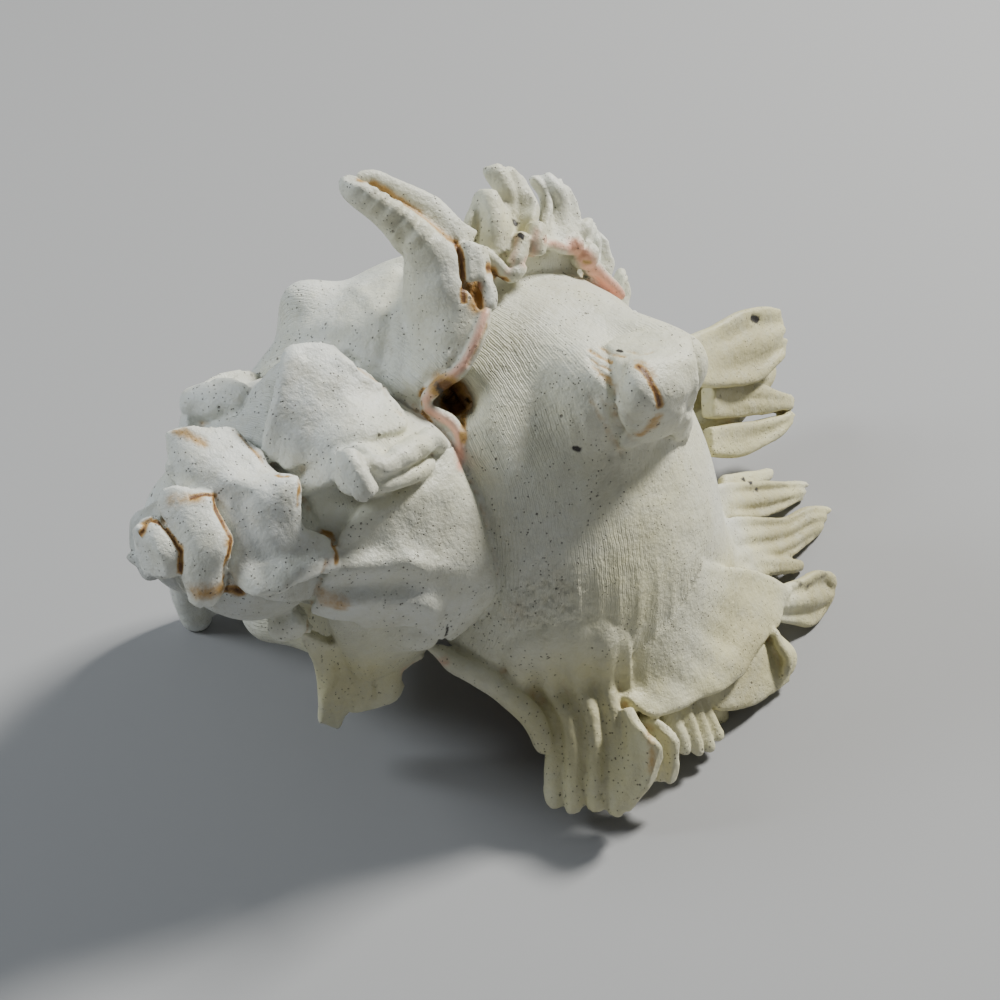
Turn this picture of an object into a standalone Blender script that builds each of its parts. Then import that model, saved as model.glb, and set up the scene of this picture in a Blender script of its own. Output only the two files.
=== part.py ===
# A ramose murex shell lying on its aperture side, apex towards -X and canal towards +X.
# Lengths are in millimetres in the shell's own axes: x runs along the coiling axis from the
# virtual apex to the canal, and an angle of 0 about it is the shell's upper side.

import math

import bpy
import numpy as np

# Coil
turnGrowth = 1.835  # size of one turn over the turn before it
lipAngle = 159.2  # angle about the axis at which the lip stands
lipLean = 21.0  # degrees by which the lip falls back at the canal end
firstTurn = -1500.0  # degrees of growth before the lip at which the worn apex starts
whorlOutline = (
    (36.0, 68.0),
    (45.0, 70.0),
    (54.0, 77.0),
    (61.0, 88.0),
    (65.0, 101.0),
    (65.5, 113.0),
    (63.0, 125.0),
    (56.0, 138.0),
    (45.0, 150.0),
    (33.0, 161.0),
    (24.0, 171.0),
)  # distance from the axis and along it, from the suture to the root of the canal, at the lip

coreOutline = ((24.0, 171.0), (4.0, 160.0), (4.0, 110.0), (4.0, 72.0), (36.0, 68.0))

# Aperture
pillarOutline = (
    (26.0, 164.0),
    (19.0, 161.0),
    (15.5, 150.0),
    (15.0, 132.0),
    (16.0, 116.0),
    (19.0, 101.0),
    (24.0, 89.0),
    (31.0, 80.0),
    (37.0, 74.0),
)  # the inner side of the aperture, from the canal up to the suture
apertureDepth = 190.0  # degrees of growth that the hollow runs back behind the lip

# Resting pose: the shell's own axes turned so that its fronds stand on the ground
apexRise = 19.1  # degrees by which the apex end is raised
rollAngle = 26.0  # degrees of turn about the axis

# Mesh
voxelSize = 1.3
faceShare = 0.05
sheetThickness = 2.6
footCut = 2.2  # how much is worn flat off the tips that stand on the ground

growthRate = math.log(turnGrowth) / 360.0


def growth(t):
    return np.exp(growthRate * t)


def smoothStep(a, b, v):
    w = np.clip((v - a) / (b - a), 0.0, 1.0)
    return w * w * (3.0 - 2.0 * w)


def throughPoints(points, s):
    # A smooth curve through the points, read at the shares s of its chord length.
    p = np.asarray(points, float)
    d = np.concatenate([[0.0], np.cumsum(np.linalg.norm(np.diff(p, axis=0), axis=1))])
    d = d / d[-1]
    slope = np.gradient(p, d, axis=0)
    i = np.clip(np.searchsorted(d, s, side="right") - 1, 0, len(p) - 2)
    h = d[i + 1] - d[i]
    x = ((s - d[i]) / h)[..., None]
    h = h[..., None]
    return (
        (2 * x**3 - 3 * x**2 + 1) * p[i]
        + (x**3 - 2 * x**2 + x) * h * slope[i]
        + (-2 * x**3 + 3 * x**2) * p[i + 1]
        + (x**3 - x**2) * h * slope[i + 1]
    )


def spun(rho, x, t):
    a = np.radians(lipAngle + t)
    return np.stack([x, rho * np.cos(a), rho * np.sin(a)], axis=-1)


# Knobs between the ribs: growth angle, place on the outline, height, reach along the
# growth and along the outline, in millimetres at the lip's size.
knobs = (
    (-85.0, 0.29, 19.0, 9.5, 9.0),
    (-88.0, 0.45, 15.0, 9.0, 9.0),
    (-80.0, 0.34, 5.0, 15.0, 16.0),
    (-172.0, 0.22, 12.0, 12.0, 12.0),
    (-300.0, 0.26, 8.0, 14.0, 12.0),
    (-386.0, 0.31, 9.0, 14.0, 12.0),
    (-500.0, 0.20, 13.0, 17.0, 14.0),
    (-622.0, 0.26, 9.0, 16.0, 14.0),
    (-811.0, 0.30, 16.0, 13.0, 16.0),
    (-965.0, 0.26, 9.0, 20.0, 16.0),
    (-1146.0, 0.30, 14.0, 20.0, 18.0),
    (-1290.0, 0.26, 8.0, 20.0, 18.0),
    (-1400.0, 0.26, 8.0, 20.0, 18.0),
)

# Ribs: growth angle of the crest, height at the shoulder, how many degrees of growth the
# rib takes to rise, how hollow its back is, and where on the outline it fades and starts.
ribs = (
    (-4.0, 13.0, 36.0, 2.2, 0.90, 0.21),
    (-112.0, 12.0, 27.0, 1.2, 0.46, 0.19),
    (-258.0, 8.0, 26.0, 1.3, 0.90, 0.19),
    (-336.0, 11.0, 36.0, 1.6, 0.80, 0.19),
    (-446.0, 8.0, 24.0, 1.3, 0.80, 0.19),
    (-540.0, 9.0, 28.0, 1.3, 0.80, 0.19),
    (-750.0, 14.0, 46.0, 1.4, 0.80, 0.19),
    (-874.0, 12.0, 34.0, 1.3, 0.80, 0.19),
    (-1082.0, 14.0, 44.0, 1.3, 0.80, 0.19),
    (-1206.0, 14.0, 34.0, 1.2, 0.80, 0.19),
    (-1345.0, 10.0, 34.0, 1.2, 0.80, 0.19),
)

# How much flatter the whorl is between one rib and the next, newest first.
flats = (0.08, 0.20, 0.06, 0.06, 0.05, 0.06, 0.06, 0.06, 0.05, 0.05)

# Hollows: growth angle, place on the outline, depth and the two reaches, as for a knob.
hollows = (
    (-99.0, 0.045, 9.0, 7.0, 7.0),
    (-128.0, 0.28, 0.0, 9.0, 9.0),
)


def lipSlant(s):
    # The lip's edge isn't along the axis: it falls back towards the canal, in degrees of growth.
    return -lipLean * smoothStep(0.15, 0.8, s)


def liftOf(t, s):
    # How far the whorl stands out from the plain coil, at the lip's size.
    run = np.radians(1.0) * 62.0
    length = 150.0
    lift = np.zeros(np.broadcast(t, s).shape)
    for at, place, height, wide, tall in knobs:
        near = ((t - at) * run / wide) ** 2 + ((s - place) * length / tall) ** 2
        lift = lift + height * np.exp(-near)
    for at, height, rise, hollow, fade, start in ribs:
        at = at + lipSlant(s) * (at == ribs[0][0])
        up = smoothStep(at - rise, at, t) ** hollow
        down = 1.0 - smoothStep(at, at + 3.5, t)
        across = 1.0 - 0.7 * smoothStep(fade - 0.2, fade + 0.15, s)
        across = across * (0.12 + 0.88 * smoothStep(start - 0.19, start, s))
        lift = lift + height * across * np.where(t < at, up, down)
    for at, place, depth, wide, tall in hollows:
        near = ((t - at) * run / wide) ** 2 + ((s - place) * length / tall) ** 2
        lift = lift - depth * np.exp(-near)
    return lift


def flatOf(t, s):
    share = np.zeros(np.broadcast(t, s).shape)
    for k, depth in enumerate(flats):
        old, new = ribs[k + 1][0], ribs[k][0]
        w = np.clip((t - old) / (new - old), 0.0, 1.0)
        share = share + depth * np.sin(np.pi * w**0.75) ** 2
    return 1.0 - share * smoothStep(0.0, 0.22, s)


def whorlPoint(t, s, inset=0.0, keep=1.0):
    t, s = np.broadcast_arrays(np.asarray(t, float), np.asarray(s, float))
    p = throughPoints(whorlOutline, s)
    step = 1e-3
    q = throughPoints(whorlOutline, np.clip(s + step, 0, 1))
    q = q - throughPoints(whorlOutline, np.clip(s - step, 0, 1))
    q = q / np.linalg.norm(q, axis=-1, keepdims=True)
    lift = liftOf(t, s) * keep - inset
    g = growth(t)
    rho = g * (p[..., 0] * flatOf(t, s) + q[..., 1] * lift)
    x = g * (p[..., 1] - q[..., 0] * lift)
    return spun(rho, x, t)


def gridFaces(rows, columns, closed):
    r = np.arange(rows - 1)[:, None]
    c = np.arange(columns if closed else columns - 1)[None, :]
    a = r * columns + c
    b = r * columns + (c + 1) % columns
    return np.stack([a, b, b + columns, a + columns], axis=-1).reshape(-1, 4)


def closedTube(rings):
    # Rings of points joined one to the next, with the first and last ring filled to their middles.
    rows, columns = rings.shape[:2]
    points = np.concatenate([rings.reshape(-1, 3), rings[0].mean(0)[None], rings[-1].mean(0)[None]])
    faces = [tuple(f) for f in gridFaces(rows, columns, True).tolist()]
    first = rows * columns
    last = first + 1
    end = (rows - 1) * columns
    for i in range(columns):
        j = (i + 1) % columns
        faces.append((first, j, i))
        faces.append((last, end + i, end + j))
    return points, faces


def whorls():
    # The coiled body: the outline and a core near the axis, carried along the coil, then
    # turned in at the lip and carried back as the wall of the aperture.
    t = np.concatenate([np.linspace(firstTurn, -60.0, 560), np.linspace(-59.0, ribs[0][0], 70)])
    s = np.linspace(0.0, 1.0, 72)
    slant = smoothStep(-100.0, 0.0, t)[:, None]
    outer = whorlPoint(t[:, None] + lipSlant(s)[None, :] * slant, s[None, :])
    core = throughPoints(coreOutline, np.linspace(0, 1, 26)[1:-1])
    turned = t[:, None] + lipSlant(np.linspace(1.0, 0.0, 26)[1:-1])[None, :] * slant
    g = growth(turned)
    inner = spun(g * core[None, :, 0], g * core[None, :, 1], turned)
    body = np.concatenate([outer, inner], axis=1)
    back = ribs[0][0] - np.concatenate([[0.4], np.linspace(1.5, apertureDepth, 90)])[:, None]
    deep = smoothStep(0.0, 80.0, -back)
    keep = 1.0 - smoothStep(24.0, 60.0, -back)
    wall = 3.0 + 3.0 * smoothStep(0.0, 40.0, -back) + 5.0 * smoothStep(60.0, apertureDepth, -back)
    arch = np.linspace(0.035, 0.90, 72)[None, :]
    outside = whorlPoint(back + lipSlant(arch) * (1.0 - deep), arch, wall, keep)
    pillar = throughPoints(pillarOutline, np.linspace(0, 1, 26)[1:-1])
    turned = back + lipSlant(np.linspace(0.9, 0.035, 26)[1:-1])[None, :] * (1.0 - deep)
    g = growth(turned)
    swell = 1.0 + 0.12 * deep
    inside = spun(g * pillar[None, :, 0] * swell, g * pillar[None, :, 1], turned)
    walls = np.concatenate([outside, inside], axis=1)
    middle = walls.mean(axis=1, keepdims=True)
    narrow = 1.0 - 0.3 * deep**2 * smoothStep(60.0, apertureDepth, -back)
    walls = middle + (walls - middle) * narrow[..., None]
    return closedTube(np.concatenate([body, walls], axis=0))


def unit(v):
    return v / np.linalg.norm(v, axis=-1, keepdims=True)


def tubeAlong(path, radii, across, rows=60, columns=40, groove=0.0, grooveAt=0.0):
    # An oval tube along a smooth path; across is the direction of the oval's long side.
    u = np.linspace(0, 1, rows)
    p = throughPoints(path, u)
    d = unit(np.gradient(p, u, axis=0))
    marks = np.linspace(0, 1, len(radii))
    size = np.stack([np.interp(u, marks, [r[k] for r in radii]) for k in (0, 1)], axis=-1)
    side = np.asarray(across, float)[None, :]
    side = unit(side - (side * d).sum(1, keepdims=True) * d)
    up = np.cross(d, side)
    turn = np.linspace(0, 2 * np.pi, columns + 1)[:-1]
    apart = np.angle(np.exp(1j * (turn - grooveAt)))
    dent = 1.0 - groove * np.exp(-((apart / 0.35) ** 2))
    ring = (
        side[:, None] * (size[:, 0:1] * np.cos(turn) * dent)[..., None]
        + up[:, None] * (size[:, 1:2] * np.sin(turn) * dent)[..., None]
    )
    return closedTube(p[:, None] + ring)


def placed(spot):
    # A place given by its distance along the axis, its distance from it and its angle about it.
    return spun(np.array(float(spot[1])), np.array(float(spot[0])), spot[2] - lipAngle)


def bezier(p0, p1, p2, p3, u):
    u = u[:, None]
    return (1 - u) ** 3 * p0 + 3 * (1 - u) ** 2 * u * p1 + 3 * (1 - u) * u**2 * p2 + u**3 * p3


def leaf(spec, rows=36, half=22):
    # A hollow frond: a sheet along a curved path, gutter-shaped and open to the front,
    # with a lobed edge, pleats and a notched tip.
    if "at" in spec:
        t, s = spec["at"]
        t = t + lipSlant(s) * (t > -30.0)
        root = whorlPoint(t, s)
        step = 0.4
        along = unit(whorlPoint(t + step, s) - whorlPoint(t - step, s))
        down = unit(whorlPoint(t, min(s + 0.004, 1)) - whorlPoint(t, max(s - 0.004, 0)))
    else:
        root = placed(spec["root"])
        along = unit(root * np.array([0, 1, 1]))
        along = unit(np.cross(along, np.array([1.0, 0.0, 0.0])))
        down = unit(np.asarray(spec["side"], float))
    out = unit(np.cross(down, along))
    radial = root * np.array([0, 1, 1])
    if (out * radial).sum() < 0:
        out = -out
    tip = placed(spec["tip"])
    reach = np.linalg.norm(tip - root)
    start = unit(along * spec.get("ahead", 0.6) + out * 0.8)
    bend = np.asarray(spec.get("bend", (0.0, 0.0, 0.0)), float)
    end = unit(unit(tip - root) + bend[0] * out + bend[1] * along + bend[2] * down)
    u = np.linspace(0, 1, rows)
    sink = root - out * spec.get("sink", 2.0) - start * spec.get("sink", 2.0)
    sideways = spec.get("twist", 0.0)
    pleats = spec.get("pleats", 0)
    fingers = spec.get("fingers", 1)
    notch = spec.get("notch", 0.0)
    v = np.linspace(-1, 1, half)
    cut = 1.0 - notch * (0.5 + 0.5 * np.cos(np.pi * fingers * (v + 1))) * (np.abs(v) < 1.0)
    cut = cut * (1.0 - spec.get("round", 0.25) * v**2)
    uu = u[:, None] * cut[None, :]
    flat = uu.reshape(-1)
    p = bezier(sink, sink + start * reach * 0.42, tip - end * reach * 0.34, tip, flat).reshape(rows, half, 3)
    h = 1e-3
    q = bezier(sink, sink + start * reach * 0.42, tip - end * reach * 0.34, tip, flat + h)
    d = unit(q.reshape(rows, half, 3) - p)
    side = down * math.cos(math.radians(sideways)) + along * math.sin(math.radians(sideways))
    side = unit(side - (side * d).sum(-1, keepdims=True) * d)
    front = np.cross(side, d)
    front = front * np.sign((front * along).sum(-1, keepdims=True).mean())
    wide = np.interp(uu, np.linspace(0, 1, len(spec["width"])), spec["width"])
    lobes = spec.get("lobes", 0)
    wave = np.sin(lobes * np.pi * 2 * uu + np.where(v > 0, 0.0, 1.9)[None, :])
    wide = wide * (1.0 + spec.get("ragged", 0.0) * wave * smoothStep(0.15, 0.5, uu) * np.abs(v)[None, :] ** 2)
    curl = spec.get("curl", 0.5) * (1.0 - spec.get("open", 0.4) * uu)
    angle = v[None, :] * curl * 1.9
    bow = np.where(np.abs(angle) > 1e-3, 1.0 / np.maximum(np.abs(curl * 1.9), 1e-3), 1.0)
    x = np.sin(angle) * bow * wide
    y = (1.0 - np.cos(angle)) * bow * wide
    fold = spec.get("pleat", 0.0) * np.cos(np.pi * pleats * (v + 1))[None, :] * smoothStep(0.05, 0.6, uu)
    mid = p + side * x[..., None] + front * (y + fold)[..., None]
    du = np.gradient(mid, axis=0)
    dv = np.gradient(mid, axis=1)
    normal = np.cross(dv, du)
    normal = normal / np.maximum(np.linalg.norm(normal, axis=-1, keepdims=True), 1e-9)
    thick = spec.get("thick", sheetThickness) * (1.0 - 0.35 * uu) * 0.5
    thick = thick * (1.0 - 0.6 * np.abs(v)[None, :] ** 6)
    thick = thick * np.where(u > 0.985, 0.45, 1.0)[:, None]
    a = mid + normal * thick[..., None]
    b = mid - normal * thick[..., None]
    rings = np.concatenate([a, b[:, ::-1]], axis=1)
    return strapTube(rings)


def strapTube(rings):
    # Rings of a flat sheet's two faces, closed at both ends across the sheet.
    rows, columns = rings.shape[:2]
    faces = [tuple(f) for f in gridFaces(rows, columns, True).tolist()]
    end = (rows - 1) * columns
    for i in range(columns // 2 - 1):
        j = columns - 1 - i
        faces.append((i, i + 1, j - 1, j)[::-1])
        faces.append((end + i, end + i + 1, end + j - 1, end + j))
    return rings.reshape(-1, 3), faces


# Fronds: the root as growth angle and place on the outline, the tip as distance along the
# axis, distance from it and angle about it, and the half widths from root to tip.
lipFronds = (
    dict(at=(-9, 0.20), tip=(77, 73, 156), width=(9, 7, 6, 4), fingers=2, notch=0.16, pleats=2,
         pleat=1.0, curl=0.3),
    dict(at=(-9, 0.24), tip=(82, 80, 151), width=(13, 11, 11, 10), fingers=3, notch=0.14, pleats=3,
         pleat=1.4, curl=0.35),
    dict(at=(-10, 0.28), tip=(91, 81, 147), width=(12, 9, 9, 7), fingers=2, notch=0.14, pleats=2,
         pleat=1.2, curl=0.6),
    dict(at=(-14, 0.34), tip=(91, 78, 139), width=(10, 8, 8, 5), fingers=2, notch=0.1, curl=0.8,
         bend=(0, -0.5, 0)),
    dict(at=(-9, 0.44), tip=(113, 80, 143), width=(14, 10, 9, 6), fingers=3, notch=0.2, pleats=3,
         pleat=1.0, curl=0.5),
    dict(at=(-9, 0.51), tip=(125, 74, 146), width=(10, 7, 5, 2), fingers=1, notch=0.0, curl=0.4),
    dict(at=(-9, 0.59), tip=(144, 72, 138), width=(14, 12, 11, 9), fingers=3, notch=0.16, pleats=3,
         pleat=1.0, curl=0.6),
    dict(at=(-9, 0.66), tip=(150, 63, 137), width=(10, 8, 7, 5), fingers=2, notch=0.12, curl=0.9,
         bend=(0, -0.6, 0)),
    dict(at=(-8, 0.74), tip=(173, 61, 135), width=(11, 8, 9, 6), fingers=3, notch=0.22, pleats=3,
         pleat=0.9, curl=0.6),
    dict(at=(-8, 0.83), tip=(192, 45, 131), width=(10, 7, 6, 3), fingers=1, notch=0.0, curl=0.6),
    dict(at=(-8, 0.88), tip=(182, 47, 138), width=(8, 5, 4, 2), fingers=1, notch=0.0, curl=0.5),
    dict(at=(-8, 0.92), tip=(196, 34, 133), width=(9, 7, 6, 5), fingers=2, notch=0.2, curl=0.5),
    dict(root=(160, 15, 70), tip=(201, 25, 58), side=(-0.2, 0.95, 0.1), width=(6, 8, 10, 9),
         fingers=3, notch=0.14, curl=0.25),
    dict(root=(164, 12, 95), tip=(202, 19.4, 97), side=(-0.3, 0.9, 0.1), width=(7, 5, 4, 2), curl=0.7),
    dict(root=(164, 14, 112), tip=(197, 23, 108), side=(-0.3, 0.9, 0.1), width=(8, 6, 5, 2.5),
         curl=0.7, fingers=2, notch=0.15),
)
ribFronds = (
    dict(at=(-122, 0.25), tip=(50, 65.5, 17), width=(15, 11, 7.5, 4), curl=1.3, open=0.0,
         bend=(-0.1, 0.1, -0.3), thick=3.8, ahead=-0.1),
    dict(at=(-120, 0.37), tip=(84, 61, 27), width=(9, 6, 4.5, 3), curl=0.9),
    dict(at=(-120, 0.43), tip=(91, 68, 23), width=(11, 7, 6, 4), curl=0.9, fingers=2, notch=0.12),
    dict(at=(-118, 0.51), tip=(100, 66, 26), width=(11, 7, 6, 4), curl=0.8, fingers=2, notch=0.2),
    dict(at=(-117, 0.62), tip=(112, 57, 32), width=(10, 6, 5, 3), curl=0.8),
    dict(at=(-116, 0.74), tip=(126, 46, 36), width=(9, 6, 5, 3), curl=0.7),
    dict(at=(-116, 0.86), tip=(140, 33, 36), width=(8, 5, 4, 2.5), curl=0.7),
    dict(at=(-262, 0.27), tip=(70.8, 69.8, 242.3), width=(11, 8, 6, 3.5), curl=1.0, open=0.2, thick=3.4),
    dict(at=(-262, 0.42), tip=(78, 61, 243), width=(9, 6, 5, 3), curl=0.8),
    dict(at=(-262, 0.56), tip=(92, 53, 244), width=(9, 6, 5, 3), curl=0.8),
    dict(at=(-262, 0.72), tip=(104, 42, 243), width=(8, 5, 4, 2.5), curl=0.7),
    dict(at=(-262, 0.86), tip=(116, 32, 240), width=(7, 5, 4, 2), curl=0.7),
    dict(at=(-342, 0.24), tip=(61, 51, 194), width=(8, 5, 4, 3), curl=0.9, fingers=2, notch=0.15),
    dict(at=(-342, 0.10), tip=(38, 25.5, 182), width=(4, 3, 2.6, 2), curl=0.5, thick=4.0),
    dict(at=(-342, 0.36), tip=(61, 45, 180), width=(5, 3.5, 2.5, 1.5), curl=0.6),
    dict(at=(-450, 0.24), tip=(30, 35, 74), width=(7, 6, 5, 4.5), curl=1.1, open=0.2),
    dict(at=(-546, 0.22), tip=(31.5, 28, 328), width=(6.5, 5.5, 5, 3.5), curl=1.0, thick=3.2),
    dict(at=(-546, 0.32), tip=(36, 28.5, 342), width=(5, 4, 3.5, 2.5), curl=0.8, thick=3.0),
    dict(at=(-756, 0.20), tip=(17.5, 20.5, 122), width=(4, 2.6, 2, 1.2), curl=0.6),
    dict(at=(-878, 0.24), tip=(16, 20, 358), width=(4.6, 4.0, 3.4, 2.0), curl=1.2),
    dict(at=(-872, 0.14), tip=(13, 14.5, 12), width=(3.6, 3.0, 2.4, 1.6), curl=0.8),
    dict(at=(-1086, 0.26), tip=(13, 13.2, 157), width=(3.4, 2.6, 2.2, 1.6), curl=0.8),
    dict(at=(-1210, 0.26), tip=(9.5, 11, 33), width=(3, 2.6, 2.2, 1.6), curl=0.8),
)


def joined(parts):
    points = []
    faces = []
    start = 0
    for p, f in parts:
        points.append(p)
        faces.extend(tuple(i + start for i in face) for face in f)
        start += len(p)
    return np.concatenate(points), faces


def shellParts():
    parts = [whorls()]
    parts.append(
        tubeAlong(
            ((58, 0, 0), (90, 0, 0), (125, 0, 1), (158, -1, 3)),
            ((14, 14), (13, 13), (12, 12), (7, 7)),
            (0, 0, 1),
        )
    )
    parts.append(
        tubeAlong(
            ((112, -2, 0), (134, -4, 2), (156, -4, 5), (176, -1, 8), (190, 4, 11), (201, 9, 15)),
            ((6, 6), (15, 13), (15, 12), (12, 9), (9, 6.5), (6, 3.5)),
            (0, -0.37, 0.93),
            groove=0.55,
            grooveAt=-1.2,
        )
    )
    parts.extend(leaf(spec) for spec in lipFronds)
    parts.extend(leaf(spec) for spec in ribFronds)
    return parts


def standing(points):
    # From the shell's own axes to the ground: the roll about the axis, then the tilt.
    r = math.radians(rollAngle)
    c, s = math.cos(r), math.sin(r)
    x = points[:, 0]
    y = points[:, 1] * c + points[:, 2] * s
    z = -points[:, 1] * s + points[:, 2] * c
    # y is now up and z is towards the viewer's side
    a = math.radians(-apexRise)
    c, s = math.cos(a), math.sin(a)
    along = x * c - y * s
    up = x * s + y * c
    return np.stack([along, -z, up], axis=-1)


def build():
    for obj in list(bpy.data.objects):
        bpy.data.objects.remove(obj)
    points, faces = joined(shellParts())
    points = standing(points)
    low, high = points.min(0), points.max(0)
    middle = np.array([(low[0] + high[0]) / 2, (low[1] + high[1]) / 2, low[2] + footCut])
    points = (points - middle) * 0.001
    mesh = bpy.data.meshes.new("shell")
    mesh.from_pydata(points.tolist(), [], faces)
    shell = bpy.data.objects.new("shell", mesh)
    bpy.context.scene.collection.objects.link(shell)
    fuse = shell.modifiers.new("fuse", "REMESH")
    fuse.mode = "VOXEL"
    fuse.voxel_size = voxelSize * 0.001
    thin = shell.modifiers.new("thin", "DECIMATE")
    thin.ratio = faceShare
    ground = bpy.data.meshes.new("ground")
    corners = [(x, y, z) for x in (-0.3, 0.3) for y in (-0.3, 0.3) for z in (-0.1, 0.0)]
    sides = [(0, 1, 3, 2), (4, 6, 7, 5), (0, 4, 5, 1), (2, 3, 7, 6), (0, 2, 6, 4), (1, 5, 7, 3)]
    ground.from_pydata(corners, [], sides)
    level = bpy.data.objects.new("ground", ground)
    level.display_type = "WIRE"
    level.hide_render = True
    bpy.context.scene.collection.objects.link(level)
    feet = shell.modifiers.new("feet", "BOOLEAN")
    feet.operation = "DIFFERENCE"
    feet.object = level
    chalk = bpy.data.materials.new("shell_chalk")
    chalk.use_nodes = True
    chalk.node_tree.nodes["Principled BSDF"].inputs["Base Color"].default_value = (0.80, 0.79, 0.72, 1)
    chalk.node_tree.nodes["Principled BSDF"].inputs["Roughness"].default_value = 0.8
    mesh.materials.append(chalk)


build()
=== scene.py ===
# A ramose murex shell, bleached and chalky, lying on its aperture side.
# It is grown in its own axes, in millimetres: x runs along the coiling axis from the virtual
# apex to the canal, rho is the distance from that axis and phi the angle about it, 0 on the
# shell's upper side. Growth angle t is 0 at the lip and negative in older shell; s runs across
# a whorl from the suture (0) to the root of the canal (1).

import math

import bpy
import numpy as np
from mathutils import Matrix, Vector


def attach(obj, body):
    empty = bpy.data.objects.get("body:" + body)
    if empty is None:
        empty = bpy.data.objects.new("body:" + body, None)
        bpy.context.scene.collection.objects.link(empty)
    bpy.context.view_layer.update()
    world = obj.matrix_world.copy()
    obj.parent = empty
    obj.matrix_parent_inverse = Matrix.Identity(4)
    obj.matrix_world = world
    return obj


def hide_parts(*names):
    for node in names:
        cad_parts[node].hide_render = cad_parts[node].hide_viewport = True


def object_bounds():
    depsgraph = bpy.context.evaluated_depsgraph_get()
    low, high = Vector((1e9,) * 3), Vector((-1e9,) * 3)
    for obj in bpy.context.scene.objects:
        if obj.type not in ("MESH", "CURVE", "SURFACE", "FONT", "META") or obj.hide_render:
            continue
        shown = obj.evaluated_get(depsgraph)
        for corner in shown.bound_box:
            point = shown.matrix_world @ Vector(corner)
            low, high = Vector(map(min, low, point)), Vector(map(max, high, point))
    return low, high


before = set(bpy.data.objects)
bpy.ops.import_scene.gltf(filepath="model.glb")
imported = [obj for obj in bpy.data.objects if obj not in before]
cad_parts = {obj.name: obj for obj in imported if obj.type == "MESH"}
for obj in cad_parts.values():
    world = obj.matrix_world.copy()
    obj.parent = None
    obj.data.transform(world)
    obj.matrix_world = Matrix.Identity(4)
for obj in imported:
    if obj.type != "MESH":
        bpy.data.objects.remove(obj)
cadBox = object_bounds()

coil = {
    "turnGrowth": 1.835,  # size of one turn over the turn before it
    "lipAngle": 159.2,  # angle about the axis at which the lip stands
    "firstTurn": -1500.0,  # growth angle at which the worn apex starts
    "closer": (-130.0, -129.6),  # growth angles of the last wide ring and the first close one
    "slantFrom": -100.0,  # growth angle from which the rings take up the lip's slant
    "rows": 1500,  # rings along the growth, a third of them close
    "columns": 150,  # points across the outer side of a whorl
    "coreColumns": 26,  # and across the side next to the axis, ends included
    "outline": (
        (36.0, 68.0), (45.0, 70.0), (54.0, 77.0), (61.0, 88.0), (65.0, 101.0), (65.5, 113.0),
        (63.0, 125.0), (56.0, 138.0), (45.0, 150.0), (33.0, 161.0), (24.0, 171.0),
    ),  # distance from the axis and along it, at the lip's size
    "core": ((24.0, 171.0), (4.0, 160.0), (4.0, 110.0), (4.0, 72.0), (36.0, 68.0)),
}

stand = {
    "apexRise": 19.1,  # degrees by which the apex end is raised
    "rollAngle": 26.0,  # degrees of turn about the axis
    "middle": (100.697, -13.316, -74.999),  # the frame's origin in the turned axes
}

view = {
    "eye": (-228.133, 51.518, 279.112),  # where the camera stands, in the shell's own axes
    # the shell's own axes as the camera sees them: right, up and towards it
    "axis": (0.62196, 0.178996, -0.762316),
    "up": (-0.113156, 0.983850, 0.138692),
    "side": (0.774830, 0.0, 0.632169),
    "lens": 72.0,
    "sensor": 36.0,
    "nearest": 0.01,  # where the camera starts to see, m
}
eye = np.array(view["eye"])


def growth(t):
    # Size at a growth angle: the turn's factor raised to the share of a turn.
    return np.exp(math.log(coil["turnGrowth"]) / 360.0 * t)


def smoothStep(a, b, v):
    # 0 before a and 1 after b, three times the square less twice the cube between them.
    w = np.clip((v - a) / (b - a), 0.0, 1.0)
    return w * w * (3.0 - 2.0 * w)


def cubic(x, h, start, leaves, end, arrives):
    # The cubic from one value to the next over a step h, with the slope given at each.
    return (
        (2 * x**3 - 3 * x**2 + 1) * start
        + (x**3 - 2 * x**2 + x) * h * leaves
        + (-2 * x**3 + 3 * x**2) * end
        + (x**3 - x**2) * h * arrives
    )


def throughPoints(points, s):
    # A cubic curve through the points, its slope at each taken from the neighbours, read at
    # the shares s of its chord length.
    p = np.asarray(points, float)
    d = np.concatenate([[0.0], np.cumsum(np.linalg.norm(np.diff(p, axis=0), axis=1))])
    d = d / d[-1]
    slope = np.gradient(p, d, axis=0)
    i = np.clip(np.searchsorted(d, s, side="right") - 1, 0, len(p) - 2)
    h = d[i + 1] - d[i]
    x = ((s - d[i]) / h)[..., None]
    return cubic(x, h[..., None], p[i], slope[i], p[i + 1], slope[i + 1])


def spun(rho, x, t):
    # A place on the coil: turned about the axis by the lip's angle plus the growth angle.
    a = np.radians(coil["lipAngle"] + t)
    return np.stack([x, rho * np.cos(a), rho * np.sin(a)], axis=-1)


def placed(spot):
    # A place given as distance along the axis, distance from it and angle about it.
    return spun(np.array(float(spot[1])), np.array(float(spot[0])), spot[2] - coil["lipAngle"])


def unit(v):
    # The same direction, one long.
    return v / np.maximum(np.linalg.norm(v, axis=-1, keepdims=True), 1e-9)


def awayFrom(points, spot):
    # Distance of each point from the spot.
    return np.linalg.norm(points - np.asarray(spot, float)[None, :], axis=1)


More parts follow.
